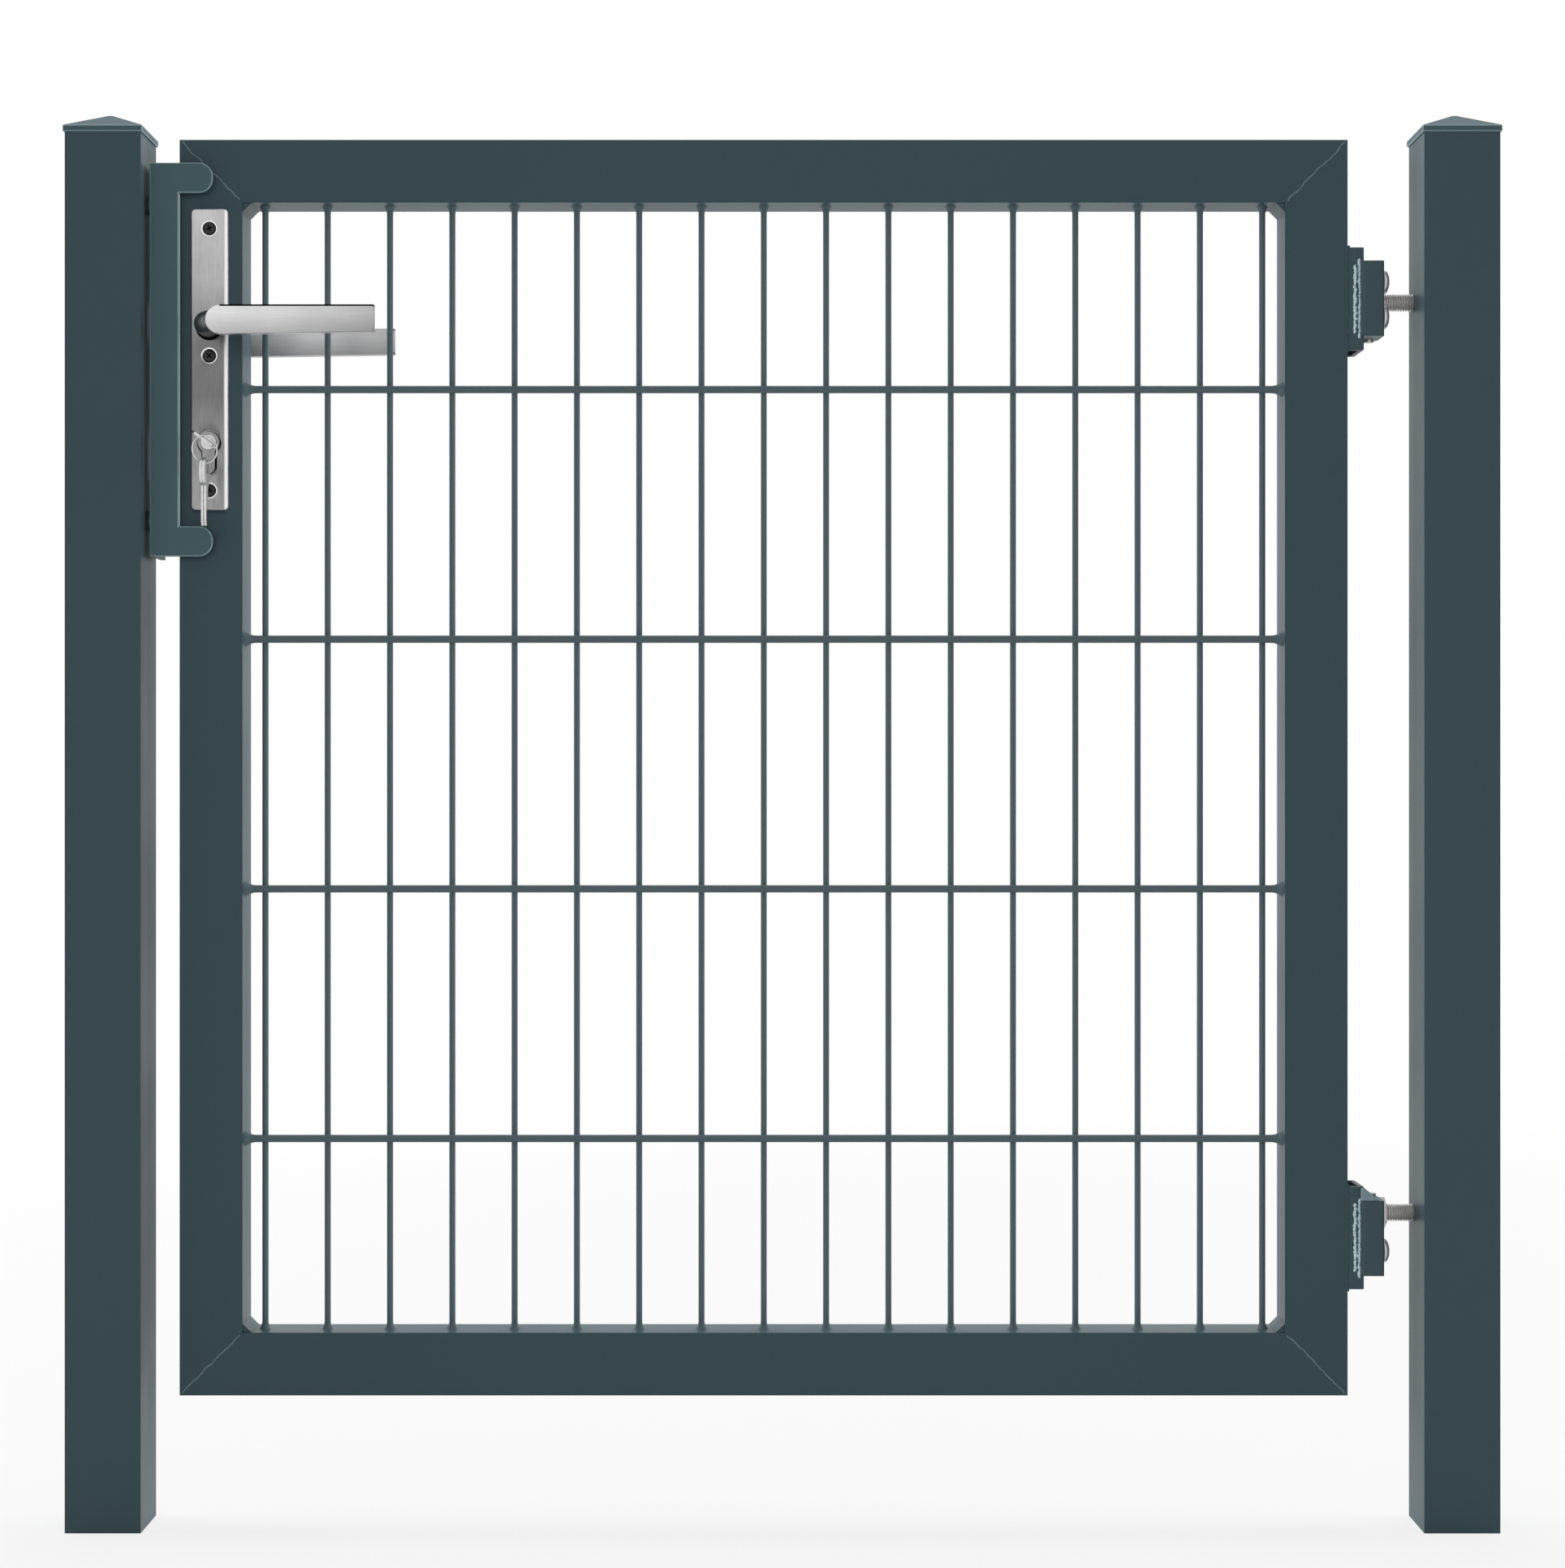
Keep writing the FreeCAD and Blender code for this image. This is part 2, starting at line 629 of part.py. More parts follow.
def make_keep_spacers():
    """Washers that hold the keep off the post."""
    x0, x1 = latch_post_inner, latch_post_inner + stop_post_gap
    return Part.makeCompound([
        rod(keep_spacer_radius, (x0, keep_bolt_y, z), (x1, keep_bolt_y, z)).cut(
            rod(keep_bolt_diameter / 2, (x0 - 1, keep_bolt_y, z), (x1 + 1, keep_bolt_y, z)))
        for z in keep_bolt_places()])


def make_hinge_channel(z, rod_z):
    """A short channel welded with its open side to the stile.

    Its rear outer corner is cut back beside the rod, so that the lock nut clears it when the leaf is open.
    """
    half = hinge_channel_height / 2
    x1 = leaf_right + hinge_channel_width
    outer = box(leaf_right, x1, leaf_front, leaf_back, z - half, z + half)
    wall = hinge_channel_wall
    inside = box(leaf_right - 1, x1 - wall, leaf_front + wall, leaf_back - wall, z - half - 1, z + half + 1)
    relief_x = pin_x - hinge_nut_across_flats / 2 - hinge_nut_clearance
    relief_y = pin_y + hinge_nut_x - pin_x - hinge_nut_clearance
    relief_half = hinge_nut_corner + hinge_nut_clearance
    relief = box(relief_x, x1 + 1, relief_y, leaf_back + 1, rod_z - relief_half, rod_z + relief_half)
    return cut_all(outer, [inside, relief])


def make_hinge_block(z, bolts):
    """The block on the channel: a cheek that laps the channel's corner, and two lugs for the pin."""
    half = hinge_block_height / 2
    channel = leaf_right + hinge_channel_width
    x1 = leaf_right + hinge_block_reach
    cheek_back = leaf_front - hinge_block_proud + hinge_block_depth
    cheek = box(channel - hinge_block_lap, x1, leaf_front - hinge_block_proud, cheek_back, z - half, z + half)
    cheek = cheek.makeFillet(hinge_block_rounding, edges_where(
        cheek, lambda b: b.YLength < 0.01 and abs(b.YMin - leaf_front + hinge_block_proud) < 0.01))
    cheek = cheek.cut(box(channel - hinge_block_lap - 1, channel, leaf_front, cheek_back + 1,
                          z - half - 1, z + half + 1))
    lugs = []
    for z0 in (z - half, z + half - hinge_lug_thickness):
        arm = box(pin_x - hinge_lug_radius, x1, cheek_back - 1, pin_y, z0, z0 + hinge_lug_thickness)
        eye = rod(hinge_lug_radius, (pin_x, pin_y, z0), (pin_x, pin_y, z0 + hinge_lug_thickness))
        lugs += [arm, eye]
    block = fuse_all([cheek] + lugs)
    tools = [rod(hinge_pin_radius, (pin_x, pin_y, z - half - 1), (pin_x, pin_y, z + half + 1))]
    for offset in bolts:
        y = leaf_front + hinge_bolt_back
        tools.append(rod(hinge_bolt_shank_radius, (channel - 1, y, z + offset), (x1 + 1, y, z + offset)))
    return cut_all(block, tools)


def make_hinge_pin(z):
    """The upright pin through the lugs and the eye of the rod."""
    half = hinge_block_height / 2
    shank = rod(hinge_pin_radius, (pin_x, pin_y, z - half - 2), (pin_x, pin_y, z + half))
    head = rod(hinge_pin_head_radius, (pin_x, pin_y, z + half),
               (pin_x, pin_y, z + half + hinge_pin_head_height))
    return fuse_all([shank, head])


def make_hinge_bolts(z, bolts):
    """Dome-headed bolts that clamp the block to the channel, each with a nut inside it."""
    y = leaf_front + hinge_bolt_back
    channel = leaf_right + hinge_channel_width
    x1 = leaf_right + hinge_block_reach
    made = []
    for offset in bolts:
        head = rod(hinge_bolt_head_radius, (x1, y, z + offset), (x1 + hinge_bolt_head_height, y, z + offset))
        head = head.makeChamfer(hinge_bolt_head_bevel, edges_where(
            head, lambda b: b.XLength < 0.01 and abs(b.XMin - x1 - hinge_bolt_head_height) < 0.01))
        shank = rod(hinge_bolt_shank_radius, (channel, y, z + offset), (x1 + 1, y, z + offset))
        made.append(fuse_all([head, shank]))
    return Part.makeCompound(made)


def make_hinge_rod(z, offset):
    """The threaded rod from the post, with an upright eye at its end for the pin."""
    half = hinge_block_height / 2 - hinge_lug_thickness - hinge_eye_play
    eye = rod(hinge_eye_radius, (pin_x, pin_y, z - half), (pin_x, pin_y, z + half))
    arm = rod(hinge_rod_radius, (pin_x, pin_y, z + offset), (-post_half + hinge_rod_grip, pin_y, z + offset))
    bore = rod(hinge_pin_radius + hinge_eye_fit, (pin_x, pin_y, z - half - 1), (pin_x, pin_y, z + half + 1))
    return fuse_all([eye, arm]).cut(bore)


def make_hinge_bush(z):
    """The threaded bush welded into the post's inner wall."""
    outer = rod(hinge_bush_radius, (-post_half, pin_y, z), (-post_half + hinge_bush_length, pin_y, z))
    return outer.cut(rod(hinge_rod_radius, (-post_half - 1, pin_y, z),
                         (-post_half + hinge_bush_length + 1, pin_y, z)))


def make_hinge_nut(z):
    """A thin hexagon lock nut on the rod, with a corner up."""
    corners = [(hinge_nut_x, pin_y + hinge_nut_corner * math.sin(math.pi * side / 3),
                z + hinge_nut_corner * math.cos(math.pi * side / 3)) for side in range(6)]
    nut = face_in_plane(corners).extrude(Vector(hinge_nut_height, 0, 0))
    return nut.cut(rod(hinge_rod_radius, (hinge_nut_x - 1, pin_y, z),
                       (hinge_nut_x + hinge_nut_height + 1, pin_y, z)))


# Latch post with its stop and keep
latch_post = make_post(latch_post_x)
for bolt_z in keep_bolt_places():
    latch_post = latch_post.cut(rod(keep_bolt_diameter / 2,
                                    (latch_post_inner - post_wall - 1, keep_bolt_y, bolt_z),
                                    (latch_post_inner + 1, keep_bolt_y, bolt_z)))
pieces["latch_post"] = latch_post
pieces["latch_post_cap"] = make_cap(latch_post_x)
pieces["stop_plate"] = make_stop_plate()
pieces["keep_strip"] = make_keep()
pieces["keep_bolts"] = make_keep_bolts()
pieces["keep_spacers"] = make_keep_spacers()

# Hinge post with what is fixed to it
hinge_post = make_post(0)
for side in ("upper", "lower"):
    rod_z = hinge_heights[side] + hinge_rod_offsets[side]
    hinge_post = hinge_post.cut(rod(hinge_bush_radius, (-post_half - 1, pin_y, rod_z),
                                    (-post_half + post_wall + 1, pin_y, rod_z)))
    pieces[side + "_hinge_rod"] = make_hinge_rod(hinge_heights[side], hinge_rod_offsets[side])
    pieces[side + "_hinge_bush"] = make_hinge_bush(rod_z)
pieces["lower_hinge_nut"] = make_hinge_nut(hinge_heights["lower"] + hinge_rod_offsets["lower"])
pieces["hinge_post"] = hinge_post
pieces["hinge_post_cap"] = make_cap(0)

# Leaf
pieces["lock_stile"] = make_lock_stile()
pieces["hinge_stile"] = make_stile(leaf_right, opening_right)
pieces["top_rail"] = make_rail(leaf_top, opening_top)
pieces["bottom_rail"] = make_rail(leaf_bottom, opening_bottom)
pieces["corner_welds"] = make_corner_welds()
pieces["mesh_panel"] = make_mesh()
for side in ("upper", "lower"):
    hinge_z, bolts = hinge_heights[side], hinge_bolt_offsets[side]
    pieces[side + "_hinge_channel"] = make_hinge_channel(hinge_z, hinge_z + hinge_rod_offsets[side])
    pieces[side + "_hinge_block"] = make_hinge_block(hinge_z, bolts)
    pieces[side + "_hinge_pin"] = make_hinge_pin(hinge_z)
    pieces[side + "_hinge_bolts"] = make_hinge_bolts(hinge_z, bolts)

# Lock on the leaf
pieces["lock_forend"] = make_forend()
pieces["lock_case"] = make_lock_case()
pieces["latch_bolt"] = bolt_box(latch_width, latch_length, latch_z, 0, leaf_left, leaf_left + bolt_depth)
pieces["dead_bolt"] = bolt_box(dead_bolt_width, dead_bolt_length, dead_bolt_z, 0,
                               leaf_left, leaf_left + bolt_depth)
pieces["front_escutcheon"] = make_escutcheon(leaf_front, plate_front)
pieces["back_escutcheon"] = make_escutcheon(leaf_back, plate_back)
pieces["front_plate_screws"] = Part.makeCompound(plate_screws(leaf_front, plate_front))
pieces["back_plate_screws"] = Part.makeCompound(plate_screws(leaf_back, plate_back))
pieces["lock_cylinder"] = make_cylinder()
pieces["rear_plug"] = make_plug(plate_back + cylinder_proud, -1, 90)

# Handle
pieces["front_lever"] = make_lever(plate_front, -1)
pieces["back_lever"] = make_lever(plate_back, 1)
pieces["spindle"] = spindle_bar(leaf_front - spindle_grip, leaf_back + spindle_grip)

# Key and what hangs on it
pieces["front_plug"] = make_plug(plate_front - cylinder_proud, 1, key_turned)
pieces["key"] = make_key()
pieces["key_ring"] = make_ring()
pieces["spare_key_left"] = make_spare_key(-1)
pieces["spare_key_right"] = make_spare_key(1)

for name, shape in pieces.items():
    shape.exportStep("parts/" + name + ".step")
print(len(pieces), "pieces written")
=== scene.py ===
# %% [markdown]
# A narrow garden gate: a leaf of mitred tube with a welded rod mesh, hung between two posts.
# The tubes, the lock and the hinges come in as a fixed frame at their real size.
# The steps below give each of them its finish, and add the small forms that welding, thread cutting and
# casting leave behind. That is where a drawing turns into an object that looks made.

# %% Load the frame
import bmesh
import bpy
import json
import math
import random
from mathutils import Matrix, Vector


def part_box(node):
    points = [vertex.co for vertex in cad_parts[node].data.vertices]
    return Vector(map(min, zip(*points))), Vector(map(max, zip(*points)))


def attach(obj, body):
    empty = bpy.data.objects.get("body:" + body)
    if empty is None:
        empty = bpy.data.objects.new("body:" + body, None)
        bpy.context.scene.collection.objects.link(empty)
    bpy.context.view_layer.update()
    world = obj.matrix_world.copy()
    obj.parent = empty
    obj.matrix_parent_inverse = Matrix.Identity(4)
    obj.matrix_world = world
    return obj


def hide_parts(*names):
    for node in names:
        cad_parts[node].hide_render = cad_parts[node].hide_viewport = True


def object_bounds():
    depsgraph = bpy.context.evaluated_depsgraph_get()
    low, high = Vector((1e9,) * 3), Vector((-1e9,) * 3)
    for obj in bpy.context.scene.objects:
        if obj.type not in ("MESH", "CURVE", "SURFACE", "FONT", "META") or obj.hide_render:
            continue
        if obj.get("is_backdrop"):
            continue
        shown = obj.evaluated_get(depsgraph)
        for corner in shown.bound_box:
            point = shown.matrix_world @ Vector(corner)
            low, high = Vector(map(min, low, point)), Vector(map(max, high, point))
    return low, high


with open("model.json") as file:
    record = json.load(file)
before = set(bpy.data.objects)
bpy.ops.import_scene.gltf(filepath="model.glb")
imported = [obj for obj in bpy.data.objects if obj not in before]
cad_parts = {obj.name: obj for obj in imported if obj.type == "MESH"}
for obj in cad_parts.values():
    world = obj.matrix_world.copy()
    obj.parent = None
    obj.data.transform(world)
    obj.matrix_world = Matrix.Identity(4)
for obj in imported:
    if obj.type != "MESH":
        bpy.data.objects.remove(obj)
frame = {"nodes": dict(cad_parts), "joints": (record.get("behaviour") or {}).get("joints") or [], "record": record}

nodes = frame["nodes"]
cad_low, cad_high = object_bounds()
MM = 0.001
print(len(nodes), "nodes, object size in mm:", [round(v / MM) for v in cad_high - cad_low])

# %% [markdown]
# The gate is seen square on, from a little right of the latch and at the height of its middle.
# A level camera keeps the posts upright in the picture, and the focal length in pixels gives the lens:
# the sensor is fitted to the picture's height, so the width of the window has no say in it.

# %% Camera
picture_height = 1932
focal_pixels = 3791
sensor_mm = 36.0
camera_place = Vector((-0.536, -2.456, 0.591))

camera_data = bpy.data.cameras.new("camera")
camera_data.sensor_fit = "VERTICAL"
camera_data.sensor_height = sensor_mm
camera_data.lens = focal_pixels / picture_height * sensor_mm
camera = bpy.data.objects.new("camera", camera_data)
camera.location = camera_place
camera.rotation_euler = (math.radians(90), 0, 0)
bpy.context.scene.collection.objects.link(camera)
bpy.context.scene.camera = camera
bpy.context.scene.view_settings.view_transform = "Standard"
print("lens in mm:", round(camera_data.lens, 2))

# %% [markdown]
# A painted gate in a catalogue stands on white. More light would wash its paint out, so the white is
# made where it does no harm: rays that come from the eye, a mirror or a glass see a white room, while
# the rays that light the paint see a room of ordinary brightness.

# %% White room
room_light = 0.3


def feed(tree, value, socket):
    """Give a socket its value: a link from another socket, or a number."""
    if isinstance(value, float):
        socket.default_value = value
    else:
        tree.links.new(value, socket)


def combined(tree, operation, first, second):
    """What a Math node makes of two values."""
    node = tree.nodes.new("ShaderNodeMath")
    node.operation = operation
    feed(tree, first, node.inputs[0])
    feed(tree, second, node.inputs[1])
    return node.outputs[0]


def remap(tree, value, span, limits):
    """A value led from its span to new limits."""
    node = tree.nodes.new("ShaderNodeMapRange")
    for label, number in zip(("From Min", "From Max", "To Min", "To Max"), (*span, *limits)):
        node.inputs[label].default_value = number
    tree.links.new(value, node.inputs["Value"])
    return node.outputs["Result"]


def lead_mixed(tree, share, first, second, end):
    """Lead two shaders into an output, mixed by a share."""
    mix = tree.nodes.new("ShaderNodeMixShader")
    tree.links.new(share, mix.inputs["Fac"])
    tree.links.new(first.outputs[0], mix.inputs[1])
    tree.links.new(second.outputs[0], mix.inputs[2])
    tree.links.new(mix.outputs[0], end.inputs["Surface"])


def seen_directly(tree):
    """A value of 1 for rays from the eye, a reflection or a clear body, and 0 for rays that light things."""
    path = tree.nodes.new("ShaderNodeLightPath").outputs
    seen = combined(tree, "MAXIMUM", path["Is Camera Ray"], path["Is Glossy Ray"])
    return combined(tree, "MAXIMUM", seen, path["Is Transmission Ray"])


world = bpy.data.worlds.new("room")
bpy.context.scene.world = world
world.use_nodes = True
room = world.node_tree
room.nodes.clear()
lit = room.nodes.new("ShaderNodeBackground")
lit.inputs["Strength"].default_value = room_light
shown = room.nodes.new("ShaderNodeBackground")
for background in (lit, shown):
    background.inputs["Color"].default_value = (1, 1, 1, 1)
lead_mixed(room, seen_directly(room), lit, shown, room.nodes.new("ShaderNodeOutputWorld"))
print("room light:", room_light)

# %% [markdown]
# The floor is pale card. A shadow at the feet of the posts says that the gate stands on something, so
# near the gate the card only glows in part: the rest of what the eye sees of it is real light and real
# shadow. Further out the glow takes over, so that the floor runs into the white room with no horizon.

# %% Floor
floor_size = 14.0
glow_near, glow_far = 0.8, 1.0
fade_from, fade_to = 1.2, 3.0
card_white = (0.55, 0.55, 0.55, 1)


def start_material(name):
    """A new material with its tree, its shader and its object coordinates."""
    made = bpy.data.materials.new(name)
    made.use_nodes = True
    tree = made.node_tree
    place = tree.nodes.new("ShaderNodeTexCoord").outputs["Object"]
    return made, tree, tree.nodes["Principled BSDF"], place


shape = bmesh.new()
bmesh.ops.create_grid(shape, x_segments=1, y_segments=1, size=floor_size / 2)
floor_mesh = bpy.data.meshes.new("floor")
shape.to_mesh(floor_mesh)
shape.free()
floor = bpy.data.objects.new("floor", floor_mesh)
bpy.context.scene.collection.objects.link(floor)
floor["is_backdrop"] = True

card, tree, paper, place = start_material("pale_card")
paper.inputs["Base Color"].default_value = card_white
paper.inputs["Roughness"].default_value = 0.9
paper.inputs["Specular IOR Level"].default_value = 0.1
glow = tree.nodes.new("ShaderNodeEmission")
away = tree.nodes.new("ShaderNodeVectorMath")
away.operation = "LENGTH"
tree.links.new(place, away.inputs[0])
fade = remap(tree, away.outputs["Value"], (fade_from, fade_to), (glow_near, glow_far))
share = combined(tree, "MULTIPLY", seen_directly(tree), fade)
lead_mixed(tree, share, paper, glow, tree.nodes["Material Output"])
floor_mesh.materials.append(card)
print("floor of", floor_size, "m")

# %% [markdown]
# The gate's narrow side faces are paler than its broad front ones. Tall soft lamps on each side, a little
# behind the gate, rake along those side faces and leave the front alone. Two more stand further back for
# the gaps beside the leaf, and one above does for the ledges what the others do for the sides. A far pair
# looks along the front, into the faces that turn towards the leaf, and a weak lamp in front fills the rest.
# The lamps don't show in metal: it mirrors the white room, so that its colour comes out as it is written.

# %% Lamps
middle = (cad_low + cad_high) / 2
beside_power, behind_power, along_power, top_power, front_power = 40.0, 14.0, 170.0, 45.0, 22.0
side_size, along_size, top_size, front_size = (1.4, 2.2), (0.9, 3.0), (2.4, 1.2), (2.6, 1.8)


def soft_lamp(name, place, size, power):
    """A rectangular lamp that looks at the middle of the gate."""
    data = bpy.data.lights.new(name, "AREA")
    data.shape = "RECTANGLE"
    data.size, data.size_y = size
    data.energy = power
    lamp = bpy.data.objects.new(name, data)
    lamp.location = place
    lamp.rotation_euler = (middle - Vector(place)).to_track_quat("-Z", "Y").to_euler()
    lamp.visible_glossy = False
    bpy.context.scene.collection.objects.link(lamp)


for side, word in ((-1, "left"), (1, "right")):
    soft_lamp("lamp_beside_" + word, (middle.x + side * 2.6, 0.75, 1.2), side_size, beside_power)
    soft_lamp("lamp_behind_" + word, (middle.x + side * 1.7, 2.6, 1.2), side_size, behind_power)
    soft_lamp("lamp_along_" + word, (middle.x + side * 5.0, -0.1, 0.9), along_size, along_power)
soft_lamp("lamp_above", (middle.x, 1.0, 3.0), top_size, top_power)
soft_lamp("lamp_front", (middle.x, -3.4, 1.5), front_size, front_power)
print("lamps:", [lamp.name for lamp in bpy.data.lights])

# %% [markdown]
# Powder coat is sprayed on dry and melted, and it sets with a faint skin like orange peel. It could be
# modelled, but it is a few hundredths of a millimetre high, so a bump is enough. Every coat shares it, so
# it is a group: it gives a height, and a slow drift for colour and gloss.

# %% Group for the peel of powder coat


def new_group(name, inputs, outputs):
    """An empty shader group with named sockets, and its two ends."""
    group = bpy.data.node_groups.new(name, "ShaderNodeTree")
    for way, sockets in (("INPUT", inputs), ("OUTPUT", outputs)):
        for label, kind in sockets:
            group.interface.new_socket(label, in_out=way, socket_type="NodeSocket" + kind)
    return group, group.nodes.new("NodeGroupInput"), group.nodes.new("NodeGroupOutput")


def noise(tree, vector, scale, detail):
    """A noise texture on a vector; its scale is a socket or a number."""
    texture = tree.nodes.new("ShaderNodeTexNoise")
    texture.inputs["Detail"].default_value = detail
    tree.links.new(vector, texture.inputs["Vector"])
    feed(tree, scale, texture.inputs["Scale"])
    return texture.outputs["Fac"]


peel, peel_in, peel_out = new_group(
    "peel", [("Vector", "Vector"), ("Peel Scale", "Float"), ("Drift Scale", "Float")],
    [("Height", "Float"), ("Drift", "Float")])
peel.links.new(noise(peel, peel_in.outputs["Vector"], peel_in.outputs["Peel Scale"], 1.5),
               peel_out.inputs["Height"])
peel.links.new(noise(peel, peel_in.outputs["Vector"], peel_in.outputs["Drift Scale"], 3.0),
               peel_out.inputs["Drift"])
print("group:", peel.name)

# %% [markdown]
# Each coat is a principled shader. The drift moves its colour between two close tones and its gloss
# between two close values, because no sprayed surface is perfectly even. The numbers that are the same
# all over are written on the shader itself. Each coat has a tone, the limits of its gloss and its specular.

# %% Painted finishes
peel_scale, drift_scale, tone_spread = 700.0, 5.0, 0.05
noise_span = (0.3, 0.7)


def add_group(tree, group, **values):
    """A group placed in a material with its own values."""
    node = tree.nodes.new("ShaderNodeGroup")
    node.node_tree = group
    for label, value in values.items():
        node.inputs[label.replace("_", " ")].default_value = value
    return node


def tone_between(tree, mask, first, second):
    """A colour that moves between two tones with a mask."""
    mix = tree.nodes.new("ShaderNodeMix")
    mix.data_type = "RGBA"
    tree.links.new(mask, mix.inputs["Factor"])
    mix.inputs["A"].default_value = (*first, 1)
    mix.inputs["B"].default_value = (*second, 1)
    return mix.outputs["Result"]


def value_between(tree, mask, low, high):
    """A number that moves between two limits with a mask."""
    return remap(tree, mask, noise_span, (low, high))


def add_bump(tree, shader, height, distance):
    """A bump of so many metres on the shader's normal."""
    bump = tree.nodes.new("ShaderNodeBump")
    bump.inputs["Distance"].default_value = distance
    tree.links.new(height, bump.inputs["Height"])
    tree.links.new(bump.outputs["Normal"], shader.inputs["Normal"])


def painted(name, tone, gloss, specular, peel_height=0.00003):
    """A powder coat of one tone."""
    made, tree, shader, place = start_material(name)
    skin = add_group(tree, peel, Peel_Scale=peel_scale, Drift_Scale=drift_scale)
    tree.links.new(place, skin.inputs["Vector"])
    darker = [channel * (1 - tone_spread) for channel in tone]
    lighter = [channel * (1 + tone_spread) for channel in tone]
    tree.links.new(tone_between(tree, skin.outputs["Drift"], darker, lighter), shader.inputs["Base Color"])
    tree.links.new(value_between(tree, skin.outputs["Drift"], *gloss), shader.inputs["Roughness"])
    shader.inputs["Specular IOR Level"].default_value = specular
    add_bump(tree, shader, skin.outputs["Height"], peel_height)
    return made


frame_paint = painted("frame_paint", (0.052, 0.090, 0.104), (0.36, 0.46), 0.14)
stop_paint = painted("stop_paint", (0.080, 0.146, 0.159), (0.36, 0.46), 0.12)
# The mesh's paint is lighter than the frame's: a painted highlight for the light along the round wires.
mesh_paint = painted("mesh_paint", (0.110, 0.152, 0.168), (0.36, 0.46), 0.1, peel_height=0.00001)
hinge_paint = painted("hinge_paint", (0.064, 0.104, 0.116), (0.34, 0.46), 0.12)
# A paler tone of the paint for the mitre lines: a painted highlight.
mitre_highlight = painted("mitre_highlight", (0.150, 0.220, 0.238), (0.3, 0.42), 0.2)
# A bright tone of the blue paint for the seams beside the hinge blocks: a painted highlight.
seam_highlight = painted("seam_highlight", (0.62, 0.80, 0.86), (0.25, 0.35), 0.3)
# A paler tone of the paint for rounded edges: a painted highlight.
edge_highlight = painted("edge_highlight", (0.24, 0.34, 0.37), (0.3, 0.4), 0.2)
deep_shadow = painted("deep_shadow", (0.004, 0.004, 0.004), (0.8, 0.9), 0.0)
cap_plastic = painted("cap_plastic", (0.076, 0.126, 0.140), (0.42, 0.5), 0.08)
print("paints:", [m.name for m in (frame_paint, stop_paint, mesh_paint, hinge_paint, cap_plastic)])

# %% [markdown]
# Satin metal has been rubbed one way, and the scratches run along the piece. A noise that is stretched
# hard along one axis draws them. The same group serves the lock plate, the lever, the keys and the
# bolts, each with its own stretch, so its vector is stretched by a Mapping node in each material.

# %% Group for rubbed grain, and the metals
scratch_height, even_stretch = 0.00001, (500.0, 500.0, 500.0)
grain, grain_in, grain_out = new_group(
    "rubbed_grain", [("Vector", "Vector"), ("Cloud", "Vector"), ("Cloud Scale", "Float")],
    [("Lines", "Float"), ("Cloud", "Float")])
grain.links.new(noise(grain, grain_in.outputs["Vector"], 1.0, 4.0), grain_out.inputs["Lines"])
grain.links.new(noise(grain, grain_in.outputs["Cloud"], grain_in.outputs["Cloud Scale"], 2.0),
                grain_out.inputs["Cloud"])


def painted_light_ramp(tree, place, axis, span, stops):
    """A grey of painted light and shade that follows its stops along one axis of the piece, from one end of a span
    to the other.
    """
    parts = tree.nodes.new("ShaderNodeSeparateXYZ")
    tree.links.new(place, parts.inputs[0])
    ramp = tree.nodes.new("ShaderNodeValToRGB")
    marks = ramp.color_ramp.elements
    marks[0].position, marks[1].position = stops[0][0], stops[-1][0]
    for where, _ in stops[1:-1]:
        marks.new(where)
    for mark, (_, grey) in zip(marks, stops):
        mark.color = (grey, grey, grey, 1)
    tree.links.new(remap(tree, parts.outputs[axis], span, (0, 1)), ramp.inputs["Fac"])
    return ramp.outputs["Color"]


def rubbed(name, dark, light, gloss, stretch=even_stretch, cloud=30.0, metal=1.0, painted_light_sweeps=()):
    """A metal rubbed along one axis; stretch says how fine the lines are on each axis, and each sweep lays painted
    light and shade along one axis of the piece.
    """
    made, tree, shader, place = start_material(name)
    mapping = tree.nodes.new("ShaderNodeMapping")
    mapping.inputs["Scale"].default_value = stretch
    tree.links.new(place, mapping.inputs["Vector"])
    lines = add_group(tree, grain, Cloud_Scale=cloud)
    tree.links.new(mapping.outputs["Vector"], lines.inputs["Vector"])
    tree.links.new(place, lines.inputs["Cloud"])
    both = combined(tree, "ADD", lines.outputs["Lines"], lines.outputs["Cloud"])
    half = combined(tree, "MULTIPLY", both, 0.5)
    tone = tone_between(tree, half, dark, light)
    for blend_type, axis, span, stops in painted_light_sweeps:
        mix = tree.nodes.new("ShaderNodeMix")
        mix.data_type, mix.blend_type = "RGBA", blend_type
        mix.inputs["Factor"].default_value = 1.0
        tree.links.new(tone, mix.inputs["A"])
        tree.links.new(painted_light_ramp(tree, place, axis, span, stops), mix.inputs["B"])
        tone = mix.outputs["Result"]
    tree.links.new(tone, shader.inputs["Base Color"])
    tree.links.new(value_between(tree, half, *gloss), shader.inputs["Roughness"])
    shader.inputs["Metallic"].default_value = metal
    add_bump(tree, shader, lines.outputs["Lines"], scratch_height)
    return made


lever_low, lever_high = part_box("front_lever")
plate_low, plate_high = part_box("front_escutcheon")
# The lever's alloy is painted lighter towards its root and its top edge and darker towards its tip and its lower
# edge: painted shade and highlight.
satin_alloy = rubbed(
    "satin_alloy", (0.62, 0.62, 0.625), (0.92, 0.92, 0.925), (0.3, 0.42), (60.0, 900.0, 900.0), painted_light_sweeps=[
        ("MULTIPLY", "X", (lever_low.x, lever_high.x), [(0, 1.0), (0.5, 0.88), (1, 0.62)]),
        ("MULTIPLY", "Z", (lever_low.z, lever_high.z), [(0, 0.62), (0.35, 0.8), (0.7, 1.0), (1, 1.0)])])
